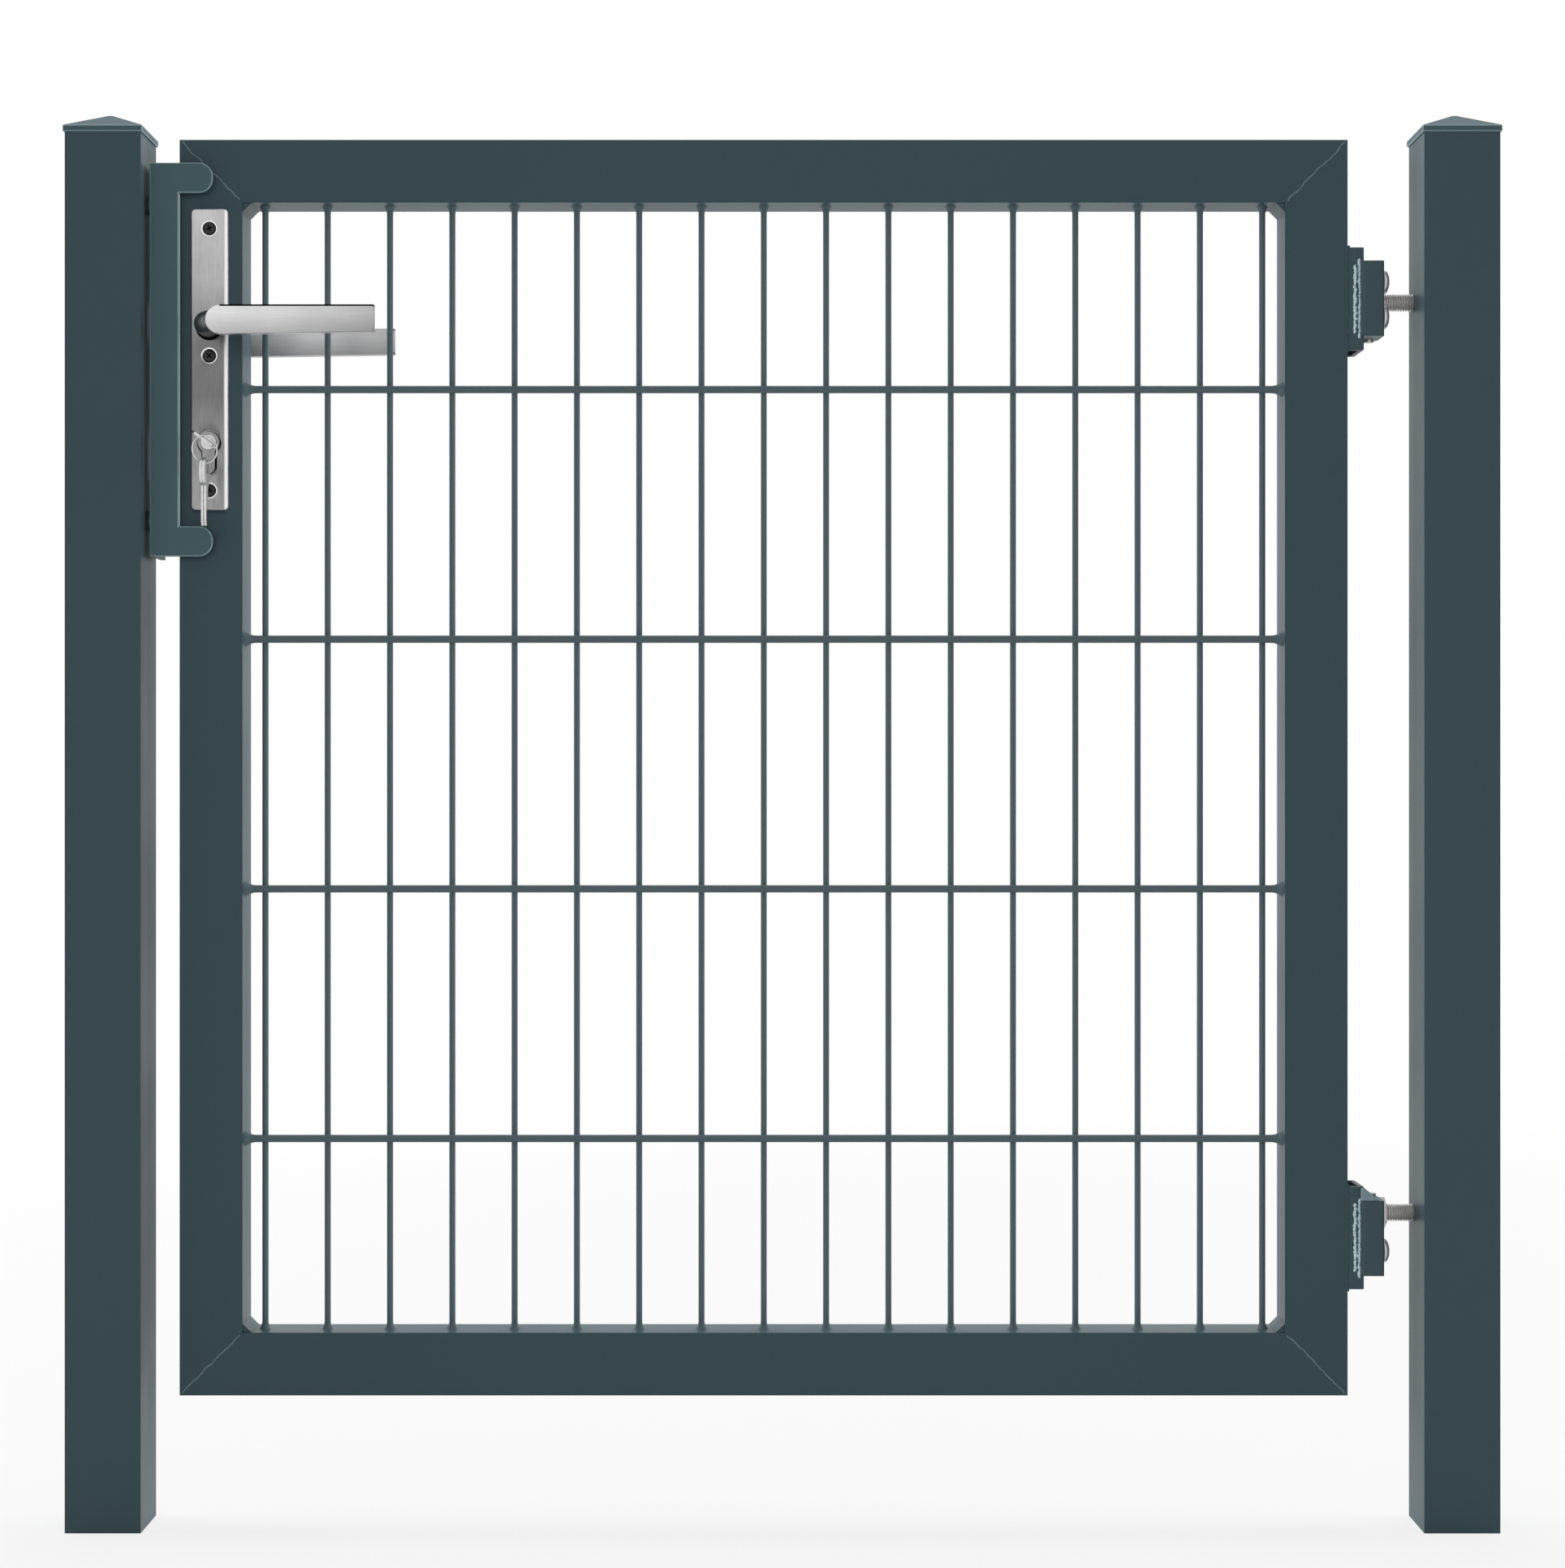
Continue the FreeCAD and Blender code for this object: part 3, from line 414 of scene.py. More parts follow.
# The lock plate's alloy is painted darker across its middle height, a painted reflection, and lighter in bands at
# its left and right edges: painted highlights.
plate_alloy = rubbed(
    "plate_alloy", (0.36, 0.36, 0.364), (0.88, 0.88, 0.885), (0.28, 0.4), (900.0, 900.0, 60.0), cloud=45.0,
    painted_light_sweeps=[
        ("MULTIPLY", "Z", (plate_low.z, plate_high.z),
         [(0, 0.55), (0.2, 0.5), (0.38, 0.28), (0.55, 0.32), (0.78, 0.72), (1, 0.85)]),
        ("LIGHTEN", "X", (plate_low.x, plate_high.x),
         [(0, 0.7), (0.04, 0), (0.86, 0), (0.93, 0.92), (1, 0.8)])])
# A bright alloy for the chamfers of the holes: a painted highlight.
rim_highlight = rubbed("rim_highlight", (0.78, 0.78, 0.785), (0.94, 0.94, 0.945), (0.24, 0.32))
# A much darker alloy for the lever's neck: painted shade on its bend.
neck_painted_shade = rubbed("neck_painted_shade", (0.05, 0.05, 0.051), (0.32, 0.32, 0.324), (0.3, 0.4), cloud=70.0)
dark_screw = rubbed("dark_screw", (0.02, 0.02, 0.021), (0.06, 0.06, 0.062), (0.3, 0.42))
satin_steel = rubbed("satin_steel", (0.16, 0.16, 0.165), (0.34, 0.34, 0.35), (0.3, 0.42))
bolt_steel = rubbed("bolt_steel", (0.34, 0.33, 0.32), (0.80, 0.78, 0.77), (0.26, 0.4), cloud=120.0,
                    metal=0.6)
key_nickel = rubbed("key_nickel", (0.42, 0.42, 0.42), (0.88, 0.88, 0.88), (0.16, 0.28),
                    (300.0, 300.0, 900.0), cloud=200.0)
# The cylinder's nickel is far darker than the keys': painted shade for the cylinder's face in its recess.
cylinder_nickel = rubbed("cylinder_nickel", (0.18, 0.18, 0.18), (0.44, 0.44, 0.44), (0.2, 0.3), cloud=90.0)
print("metals:", [m.name for m in (satin_alloy, plate_alloy, satin_steel, bolt_steel, key_nickel)])

# %% [markdown]
# Every node now gets its finish. Sawn and folded edges are never perfectly sharp, and the thin light
# line along an edge is what makes steel look thick. The meshes come in as loose triangles, so a Weld
# modifier joins them first and a Decimate modifier dissolves the lines inside flat faces. A Bevel modifier
# then rounds the edges that turn by more than 40 degrees. As modifiers, they leave the nodes' own meshes
# as they are. A radius is found by a part of the node's name, so a cap has its post's. On the stop plate,
# the hinge blocks and the caps the rounded edge takes a paler paint: a painted highlight.

# %% Finishes and soft edges of the nodes
finishes = {
    "frame_paint": frame_paint, "stop_paint": stop_paint, "mesh_paint": mesh_paint,
    "hinge_paint": hinge_paint, "cap_plastic": cap_plastic, "bolt_steel": bolt_steel,
    "satin_steel": satin_steel, "satin_alloy": satin_alloy, "cylinder_nickel": cylinder_nickel,
    "key_nickel": key_nickel,
}
edge_radii = {"latch_post": 1.2, "hinge_post": 1.2, "stop_plate": 0.9, "keep_strip": 0.6, "hinge_nut": 0.5,
              "hinge_channel": 0.8, "hinge_block": 2.2}
highlight_edged = ("stop_plate", "hinge_block", "post_cap")
usual_radius = 0.3
weld_distance, flat_turn, sharp_turn = 0.00001, math.radians(1), math.radians(40)
slot_of = {part["node"]: part["material_slot"] for part in frame["record"]["subparts"]}


def soften(piece, radius):
    """Join loose triangles and round the sharp edges by so many millimetres."""
    join = piece.modifiers.new("join", "WELD")
    join.merge_threshold = weld_distance
    flat = piece.modifiers.new("flat", "DECIMATE")
    flat.decimate_type = "DISSOLVE"
    flat.angle_limit = flat_turn
    edge = piece.modifiers.new("edge", "BEVEL")
    edge.width = radius * MM
    edge.segments = 2
    edge.limit_method = "ANGLE"
    edge.angle_limit = sharp_turn


for name, node in nodes.items():
    node.data.materials.clear()
    node.data.materials.append(finishes[slot_of[name]])
    radius = next((r for part, r in edge_radii.items() if part in name), usual_radius)
    soften(node, radius)
    if any(part in name for part in highlight_edged):
        node.data.materials.append(edge_highlight)
        node.modifiers["edge"].material = 1
for name in ("upper_hinge_bush", "lower_hinge_bush"):
    nodes[name].data.materials[0] = frame_paint
for name in ("front_plug", "rear_plug"):
    nodes[name].data.materials[0] = key_nickel
print("softened", len(nodes), "nodes")

# %% [markdown]
# New pieces are all finished the same way: the shape becomes a mesh with its normals outwards, smooth
# across gentle turns and sharp across hard ones. It then rides on the body that carries it.

# %% Helper that turns a shape into a piece
turn_kept_sharp = math.radians(38)


def finish_piece(name, shape, material, body, stands_for=(), others=()):
    """Make a bmesh into a named piece on a body, in place of the nodes that it stands for."""
    bmesh.ops.recalc_face_normals(shape, faces=shape.faces)
    mesh = bpy.data.meshes.new(name)
    shape.to_mesh(mesh)
    shape.free()
    mesh.shade_smooth()
    mesh.set_sharp_from_angle(angle=turn_kept_sharp)
    for finish in (material, *others):
        mesh.materials.append(finish)
    piece = bpy.data.objects.new(name, mesh)
    bpy.context.scene.collection.objects.link(piece)
    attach(piece, body)
    if stands_for:
        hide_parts(*stands_for)
    print(name + ":", len(mesh.polygons), "faces")


def new_verts(made):
    """The vertices among what an operator made."""
    return [item for item in made["geom"] if isinstance(item, bmesh.types.BMVert)]


def faces_since(shape, before):
    """The faces that a shape has gained since its faces were noted."""
    return [face for face in shape.faces if face not in before]


def thicken(shape, faces, way):
    """Draw faces out along a vector into a solid."""
    made = bmesh.ops.extrude_face_region(shape, geom=faces)
    bmesh.ops.translate(shape, vec=way, verts=new_verts(made))


def round_off(shape, geom, radius, segments, affect):
    """Round corners (VERTICES) or edges (EDGES) by a radius."""
    bmesh.ops.bevel(shape, geom=geom, offset=radius, segments=segments, profile=0.5, material=-1,
                    affect=affect)


def round_loop(shape, place, radius, sides=32, capped=False):
    """A ring of edges round a placed Z axis, filled where it is capped."""
    made = bmesh.ops.create_circle(shape, segments=sides, radius=radius, matrix=place, cap_ends=capped)
    return list({edge for vert in made["verts"] for edge in vert.link_edges})


def lead_along(shape, centres, radii, sides=12, ahead=None):
    """A closed round body led through centres; ahead keeps each ring square to one direction."""
    last = len(centres) - 1
    before = None
    for index, (centre, radius) in enumerate(zip(centres, radii)):
        way = ahead or centres[min(index + 1, last)] - centres[max(index - 1, 0)]
        place = Matrix.Translation(centre) @ way.to_track_quat("Z", "Y").to_matrix().to_4x4()
        ring = round_loop(shape, place, radius, sides, capped=index in (0, last))
        if before:
            bmesh.ops.bridge_loops(shape, edges=before + ring)
        before = ring


def placed(shape, matrix, build, *values):
    """Build a form about the origin, then move only what it made."""
    before = set(shape.verts)
    build(shape, *values)
    bmesh.ops.transform(shape, matrix=matrix, verts=[vert for vert in shape.verts if vert not in before])


def facing(outward, place):
    """A frame whose Z points out of the gate's front (-1) or back (1), with Y up."""
    across = Vector((-outward, 0, 0))
    turn = Matrix((across, (0, 0, 1), (0, outward, 0))).transposed()
    return Matrix.Translation(place) @ turn.to_4x4()


print("edges stay sharp over", round(math.degrees(turn_kept_sharp)), "degrees")

# %% [markdown]
# The mesh is drawn wire, spot welded where it crosses and fused to the frame at every end. The molten
# end sinks and spreads, so each wire leaves the frame through a small trumpet. A wire is one round body
# led along its line, whose radius follows that trumpet at both ends.

# %% Rod mesh
upright_radius, crossbar_radius = 2.5 * MM, 3.0 * MM
upright_pitch, crossbar_pitch, first_crossbar = 50 * MM, 200 * MM, 197 * MM
upright_count, crossbar_count = 17, 4
weld_bite = 0.6 * MM
upright_trumpet, crossbar_trumpet = (4.8 * MM, 5.5 * MM), (6.6 * MM, 8 * MM)
rail_low, rail_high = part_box("top_rail")
panel_low, panel_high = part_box("mesh_panel")
upright_y = (rail_low.y + rail_high.y) / 2
crossbar_y = upright_y - upright_radius - crossbar_radius + weld_bite
trumpet_steps = (0.0, 0.18, 0.4, 0.68, 1.0)


def wire(shape, start, end, radius, trumpet):
    """A wire from start to end that spreads like a trumpet at both ends."""
    mouth, length = trumpet
    way = (end - start).normalized()
    reach = (end - start).length
    places = [step * length for step in trumpet_steps]
    places += [reach - place for place in reversed(places)]
    centres = [start + way * place for place in places]
    radii = []
    for place in places:
        near = min(place, reach - place, length) / length
        radii.append(radius + (mouth - radius) * (1 - near) ** 2)
    lead_along(shape, centres, radii, sides=14, ahead=way)


shape = bmesh.new()
middle_x = (panel_low.x + panel_high.x) / 2
for index in range(upright_count):
    x = middle_x + (index - (upright_count - 1) / 2) * upright_pitch
    wire(shape, Vector((x, upright_y, panel_low.z)), Vector((x, upright_y, panel_high.z)),
         upright_radius, upright_trumpet)
for index in range(crossbar_count):
    z = rail_high.z - first_crossbar - index * crossbar_pitch
    wire(shape, Vector((panel_low.x, crossbar_y, z)), Vector((panel_high.x, crossbar_y, z)),
         crossbar_radius, crossbar_trumpet)
finish_piece("rod_mesh", shape, mesh_paint, "leaf", ["mesh_panel"])

# %% [markdown]
# A cast lock plate has soft corners and a soft rim, and the chamfers of its holes are painted bright: a
# painted highlight. An inset that moves in and up along a quarter circle rounds the rim in a few steps. The
# front face is then opened: it is taken away and filled again round the loops of the holes, and each hole's
# wall is led inwards.

# %% Helpers for plates with holes
rim_steps, shadow_slot, highlight_slot = 5, 1, 2


def rounded_plate(shape, width, low, high, thickness, corner, rim):
    """A plate with round corners and a soft front rim; gives its front face."""
    bmesh.ops.create_grid(shape, x_segments=1, y_segments=1, size=0.5)
    bmesh.ops.scale(shape, vec=(width, high - low, 1), verts=shape.verts)
    bmesh.ops.translate(shape, vec=(0, (low + high) / 2, 0), verts=shape.verts)
    round_off(shape, shape.verts[:], corner, 6, "VERTICES")
    made = bmesh.ops.extrude_face_region(shape, geom=shape.faces[:])
    front = next(item for item in made["geom"] if isinstance(item, bmesh.types.BMFace))
    bmesh.ops.translate(shape, vec=(0, 0, thickness - rim), verts=front.verts)
    inward, upward = 0, 0
    for step in range(1, rim_steps + 1):
        angle = math.pi / 2 * step / rim_steps
        bmesh.ops.inset_region(shape, faces=[front], use_even_offset=True,
                               thickness=rim * (1 - math.cos(angle)) - inward,
                               depth=rim * math.sin(angle) - upward)
        inward, upward = rim * (1 - math.cos(angle)), rim * math.sin(angle)
    return front


def fill_round(shape, rim, holes=()):
    """A flat face inside a rim of edges, with a hole for each other loop of edges."""
    edges = rim + [edge for hole in holes for edge in hole]
    bmesh.ops.triangle_fill(shape, edges=edges, use_beauty=True)


def sink(shape, loop, depth, narrow=1.0, floor=False):
    """Lead a loop of edges down by a depth, narrowed about its middle; gives the lower loop."""
    made = bmesh.ops.extrude_edge_only(shape, edges=loop)
    verts = new_verts(made)
    centre = sum((vert.co for vert in verts), Vector()) / len(verts)
    bmesh.ops.translate(shape, vec=(0, 0, -depth), verts=verts)
    bmesh.ops.scale(shape, vec=(narrow, narrow, 1), verts=verts, space=Matrix.Translation(-centre))
    chosen = set(verts)
    lower = [edge for edge in shape.edges if edge.verts[0] in chosen and edge.verts[1] in chosen]
    if floor:
        fill_round(shape, lower)
    return lower


def give_finish(shape, before, index):
    """Give the faces that are new one of the piece's other finishes."""
    for face in faces_since(shape, before):
        face.material_index = index


def sink_into_shadow(shape, loop, depth, narrow=1.0):
    """Sink a loop to a closed floor; its wall and its floor take the second finish."""
    before = set(shape.faces)
    sink(shape, loop, depth, narrow, floor=True)
    give_finish(shape, before, shadow_slot)


def outline_loop(shape, points):
    """A closed loop of edges through points in the plane of a plate's face."""
    verts = [shape.verts.new(point) for point in points]
    return [shape.edges.new((verts[index - 1], verts[index])) for index in range(len(verts))]


print("helpers for plates ready")

# %% [markdown]
# The lock plate has a round hole for the lever's neck, a keyhole outline for the cylinder, and three
# countersunk holes for screws. Each hole first drops over a narrow chamfer painted bright, a painted
# highlight, and then goes straight down. Its wall and floor are painted black, a painted shadow, so that a
# dark ring stays round whatever comes through it.

# %% Lock plates
gate_sides = (("front", -1), ("back", 1))
plate_corner, plate_rim = 4 * MM, 2.4 * MM
hole_chamfer, hole_depth = 0.35 * MM, 4 * MM
neck_hole, screw_hole, screw_radius, middle_screw_drop = 11.0 * MM, 6.4 * MM, 4.6 * MM, 23 * MM
screw_chamfer, thin_narrow, wide_narrow = 0.6 * MM, 0.965, 0.84
cylinder_radius, cylinder_foot, cylinder_drop, cylinder_gap = 8.5 * MM, 5 * MM, 24.5 * MM, 1.2 * MM
handle_joint = next(joint for joint in frame["joints"] if joint["name"] == "handle_turn")
axis_x, _, spindle_z = handle_joint["pos_m"]
cylinder_low, cylinder_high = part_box("front_plug")
cylinder_z = (cylinder_low.z + cylinder_high.z) / 2
screw_low, screw_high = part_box("front_plate_screws")
screw_heights = (screw_high.z - screw_radius, spindle_z - middle_screw_drop, screw_low.z + screw_radius)


def keyhole_points(z):
    """The outline of a lock cylinder with its gap: a round head over a narrower round foot."""
    head, foot = cylinder_radius + cylinder_gap, cylinder_foot + cylinder_gap
    foot_y = -(cylinder_drop + cylinder_gap - foot)
    neck = math.acos(foot / head)
    points = []
    for radius, y, start, turn, steps in ((head, 0, -neck, math.pi + 2 * neck, 32),
                                          (foot, foot_y, math.pi, math.pi, 16)):
        for step in range(steps + 1):
            angle = start + turn * step / steps
            points.append((radius * math.cos(angle), y + radius * math.sin(angle), z))
    return points


def lock_plate(shape, width, low, high, thickness):
    """One lock plate about the spindle's axis, with its holes."""
    front = rounded_plate(shape, width, low, high, thickness, plate_corner, plate_rim)
    rim = front.edges[:]
    bmesh.ops.delete(shape, geom=[front], context="FACES_ONLY")
    holes = [round_loop(shape, Matrix.Translation((0, 0, thickness)), neck_hole)]
    for z in screw_heights:
        holes.append(round_loop(shape, Matrix.Translation((0, z - spindle_z, thickness)), screw_hole))
    drop = cylinder_z - spindle_z
    holes.append(outline_loop(shape, [(x, y + drop, z) for x, y, z in keyhole_points(thickness)]))
    fill_round(shape, rim, holes)
    thin, wide = (hole_chamfer, thin_narrow), (screw_chamfer, wide_narrow)
    for hole, (depth, narrow) in zip(holes, (thin, wide, wide, wide, thin)):
        before = set(shape.faces)
        edge = sink(shape, hole, depth, narrow)
        give_finish(shape, before, highlight_slot)
        sink_into_shadow(shape, edge, hole_depth)


for word, outward in gate_sides:
    low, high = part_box(word + "_escutcheon")
    face_y = low.y if outward > 0 else high.y
    shape = bmesh.new()
    placed(shape, facing(outward, (axis_x, face_y, spindle_z)), lock_plate,
           high.x - low.x, low.z - spindle_z, high.z - spindle_z, high.y - low.y)
    finish_piece(word + "_lock_plate", shape, plate_alloy, "leaf", [word + "_escutcheon"],
                 others=(deep_shadow, rim_highlight))

# %% [markdown]
# Every visible screw here is turned on a lathe and then struck with a tool: the head is a stack of rings,
# and the mark of the tool is a cross or a hexagon sunk into its crown. One helper makes them all.

# %% Screws and bolts
screw_crown, tool_taper, dome_steps = 0.16 * MM, 0.8, 6
cross_arm, cross_half, cross_depth = 2.7 * MM, 0.5 * MM, 1.3 * MM
first_turn, next_turn = 20, 27


def cross_points(arm, half, z):
    """The outline of a cross recess with four arms."""
    corners = [(half, half), (half, arm), (-half, arm), (-half, half), (-arm, half), (-arm, -half),
               (-half, -half), (-half, -arm), (half, -arm), (half, -half), (arm, -half), (arm, half)]
    return [(x, y, z) for x, y in corners]


def hexagon_points(radius, z):
    """The outline of a hexagon socket."""
    angles = [math.pi / 3 * side for side in range(6)]
    return [(radius * math.cos(angle), radius * math.sin(angle), z) for angle in angles]


def struck_head(shape, rings, tool, depth):
    """A head from its rings of radius and height, with a tool mark sunk into its crown."""
    before = None
    for index, (radius, height) in enumerate(rings):
        ring = round_loop(shape, Matrix.Translation((0, 0, height)), radius, capped=index == 0)
        if before:
            bmesh.ops.bridge_loops(shape, edges=before + ring)
        before = ring
    mark = outline_loop(shape, tool)
    fill_round(shape, before, [mark])
    sink_into_shadow(shape, mark, depth, narrow=tool_taper)


def dome_rings(radius, wall, height, crown):
    """Rings of a domed head: a low wall, then an arc up to the crown."""
    rings = [(radius, 0), (radius, wall)]
    turn = math.acos(crown / radius)
    for step in range(1, dome_steps + 1):
        angle = turn * step / dome_steps
        rings.append((radius * math.cos(angle), wall + (height - wall) * math.sin(angle) / math.sin(turn)))
    return rings


def dome_bolt(shape, place, radius, wall, height, crown, socket, depth):
    """A domed head that looks to the right from its place, with a hexagon socket in its crown."""
    placed(shape, Matrix.Translation(place) @ to_the_right, struck_head,
           dome_rings(radius, wall, height, crown), hexagon_points(socket, height), depth)


flat_rings = [(screw_radius, -1.5 * MM), (screw_radius, -0.2 * MM), (4.35 * MM, 0.02 * MM),
              (3.2 * MM, screw_crown)]
for word, outward in gate_sides:
    low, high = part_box(word + "_escutcheon")
    outer_y = high.y if outward > 0 else low.y
    shape = bmesh.new()
    for index, z in enumerate(screw_heights):
        turn = Matrix.Rotation(math.radians(first_turn + next_turn * index), 4, "Z")
        placed(shape, facing(outward, (axis_x, outer_y, z)) @ turn, struck_head, flat_rings,
               cross_points(cross_arm, cross_half, screw_crown), cross_depth)
    finish_piece(word + "_cross_screws", shape, dark_screw, "leaf", [word + "_plate_screws"],
                 others=(deep_shadow,))

to_the_right = Matrix.Rotation(math.pi / 2, 4, "Y")
hinge_dome = dict(radius=9.5 * MM, wall=1.2 * MM, height=4.7 * MM, crown=4.2 * MM, socket=3.0 * MM,
                  depth=2.4 * MM)
keep_dome = dict(radius=7.5 * MM, wall=0.8 * MM, height=4 * MM, crown=3.6 * MM, socket=2.6 * MM,
                 depth=2 * MM)
hinge_bolt_gaps = {"upper": (-14.5 * MM, 13.5 * MM), "lower": (-10.5 * MM,)}
for side, gaps in hinge_bolt_gaps.items():
    low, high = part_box(side + "_hinge_bolts")
    block_low, block_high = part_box(side + "_hinge_block")
    shape = bmesh.new()
    for gap in gaps:
        place = (high.x - hinge_dome["height"], (low.y + high.y) / 2, (block_low.z + block_high.z) / 2 + gap)
        dome_bolt(shape, place, **hinge_dome)
    finish_piece(side + "_dome_bolts", shape, bolt_steel, "leaf", [side + "_hinge_bolts"],
                 others=(deep_shadow,))

low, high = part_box("keep_bolts")
shape = bmesh.new()
for z in (low.z + keep_dome["radius"], high.z - keep_dome["radius"]):
    dome_bolt(shape, (high.x - keep_dome["height"], (low.y + high.y) / 2, z), **keep_dome)
finish_piece("keep_dome_bolts", shape, bolt_steel, "root", ["keep_bolts"],
             others=(deep_shadow,))

# %% [markdown]
# The lever is a cast bar: a round neck leaves the plate, bends towards the grip and runs into the back of
# a flat bar. Seen from the front, the bar's root is a half circle and its lower edge rises a little
# towards the tip. Half a disc gives the root, and its cut edge is drawn out into the grip.

# %% Levers
grip_half, grip_thick, grip_off = 11.5 * MM, 8 * MM, 32 * MM
root_x, tip_x, tip_rise, grip_edge, tip_corner = 15.4 * MM, 136 * MM, 2 * MM, 1.3 * MM, 2 * MM
neck_radius, neck_straight, neck_bend, neck_turn = 9 * MM, 14 * MM, 18 * MM, math.radians(50)
neck_run, neck_steps, plate_thick = 7 * MM, 8, 8 * MM


def grip_bar(shape):
    """The flat bar: half a disc drawn out to the tip, given its thickness and its soft edges."""
    bmesh.ops.create_circle(shape, cap_ends=True, segments=48, radius=grip_half,
                            matrix=Matrix.Translation((root_x, 0, grip_off)))
    bmesh.ops.bisect_plane(shape, geom=shape.verts[:] + shape.edges[:] + shape.faces[:],
                           plane_co=(root_x, 0, 0), plane_no=(1, 0, 0), clear_outer=True)
    cut = [edge for edge in shape.edges if all(vert.co.x > root_x - 0.01 * MM for vert in edge.verts)]
    made = bmesh.ops.extrude_edge_only(shape, edges=cut)
    ends = new_verts(made)
    bmesh.ops.translate(shape, vec=(tip_x - root_x, 0, 0), verts=ends)
    bmesh.ops.translate(shape, vec=(0, tip_rise, 0), verts=[vert for vert in ends if vert.co.y < 0])
    round_off(shape, ends, tip_corner, 4, "VERTICES")
    bmesh.ops.recalc_face_normals(shape, faces=shape.faces)
    thicken(shape, shape.faces[:], (0, 0, grip_thick))
    bmesh.ops.recalc_face_normals(shape, faces=shape.faces)
    sharp = [edge for edge in shape.edges if edge.calc_face_angle(0) > sharp_turn]
    round_off(shape, sharp, grip_edge, 4, "EDGES")


def lever(shape):
    """The bar with its bent neck."""
    grip_bar(shape)
    centres = [Vector((0, 0, -plate_thick)), Vector((0, 0, neck_straight))]
    for step in range(1, neck_steps + 1):
        angle = neck_turn * step / neck_steps
        centres.append(Vector((neck_bend * (1 - math.cos(angle)), 0,
                               neck_straight + neck_bend * math.sin(angle))))
    way = Vector((math.sin(neck_turn), 0, math.cos(neck_turn)))
    centres.append(centres[-1] + way * neck_run)
    # The neck takes the lever's second finish, a dark alloy painted as shade.
    before = set(shape.faces)
    lead_along(shape, centres, [neck_radius] * len(centres), sides=40)
    give_finish(shape, before, 1)


for word, outward in gate_sides:
    low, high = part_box(word + "_escutcheon")
    outer_y = high.y if outward > 0 else low.y
    shape = bmesh.new()
    mirrored = Matrix.Diagonal((-outward, 1, 1, 1))
    placed(shape, facing(outward, (axis_x, outer_y, spindle_z)) @ mirrored, lever)
    finish_piece(word + "_handle", shape, satin_alloy, "handle", [word + "_lever"],
                 others=(neck_painted_shade,))

# %% [markdown]
# The hinge hangs from a threaded rod, and turning the rod sets the gap of the gate. A spin with a small
# step along its axis is a helix, so one tooth of the thread, spun many times round, cuts the whole
# length. Each turn ends where the next begins, and merging doubles closes the seam between them.

# %% Hinge rods
thread_pitch, thread_root, thread_crest = 2 * MM, 5.7 * MM, 7 * MM
steps_a_turn, eye_radius, eye_reach, end_reach = 24, 7.6 * MM, 6 * MM, 2 * MM
tooth = [(0, thread_root), (0.32, thread_crest), (0.55, thread_crest), (0.87, thread_root), (1, thread_root)]


def thread(shape, start, end):
    """A thread along X from one value to another, about the X axis."""
    turns = round((end - start) / thread_pitch)
    verts = [shape.verts.new((start + place * thread_pitch, 0, radius)) for place, radius in tooth]
    edges = [shape.edges.new(pair) for pair in zip(verts, verts[1:])]
    bmesh.ops.spin(shape, geom=verts + edges, cent=(0, 0, 0), axis=(1, 0, 0), angle=2 * math.pi * turns,
                   steps=steps_a_turn * turns, dvec=(thread_pitch / steps_a_turn, 0, 0), use_merge=False)
    bmesh.ops.remove_doubles(shape, verts=shape.verts, dist=0.02 * MM)
    inner = [Vector((place, 0, 0)) for place in (start - eye_reach, end + end_reach)]
    lead_along(shape, inner, [thread_root - 0.05 * MM] * 2, sides=32)


for side in ("upper", "lower"):
    low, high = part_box(side + "_hinge_rod")
    bush_low, bush_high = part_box(side + "_hinge_bush")
    eye_x = low.x + eye_radius
    rod_y, rod_z = (low.y + high.y) / 2, (bush_low.z + bush_high.z) / 2
    shape = bmesh.new()
    placed(shape, Matrix.Translation((0, rod_y, rod_z)), thread, eye_x + eye_reach,
           high.x - end_reach)
    eye = [Vector((eye_x, rod_y, low.z)), Vector((eye_x, rod_y, high.z))]
    lead_along(shape, eye, [eye_radius] * 2, sides=40)
    finish_piece(side + "_threaded_rod", shape, bolt_steel, "root", [side + "_hinge_rod"])

# %% [markdown]
# A welded seam is a row of drops that froze one over another, and its width comes and goes. A row of small
# flattened balls, each a little off the line, gives that ragged edge. The seams beside the hinge blocks take a
# bright tone of the blue paint, a painted highlight, and those along the channels are painted over.

# %% Hinge welds
maker = random.Random(7)
drop_step, drop_aside, drop_along, drop_lean = 2.3 * MM, 0.35, 0.4, 0.5
width_range, bulge_range, length_range = (0.75, 1.3), (0.8, 1.2), (0.6, 0.95)
block_seams, block_width, block_bulge = ((-0.5 * MM, 1.0), (-4.2 * MM, 0.86)), 1.3 * MM, 1.6 * MM
channel_inset, front_seam, back_seam = 0.2 * MM, (1.1 * MM, 0.7 * MM), (1.4 * MM, 0.9 * MM)


def drop(shape, place, size):
    """One frozen drop: a ball squashed by three sizes."""
    made = bmesh.ops.create_icosphere(shape, subdivisions=2, radius=1)
    turn = Matrix.Rotation(maker.uniform(-drop_lean, drop_lean), 4, "Y")
    bmesh.ops.transform(shape, verts=made["verts"],
                        matrix=Matrix.Translation(place) @ turn @ Matrix.Diagonal((*size, 1)))


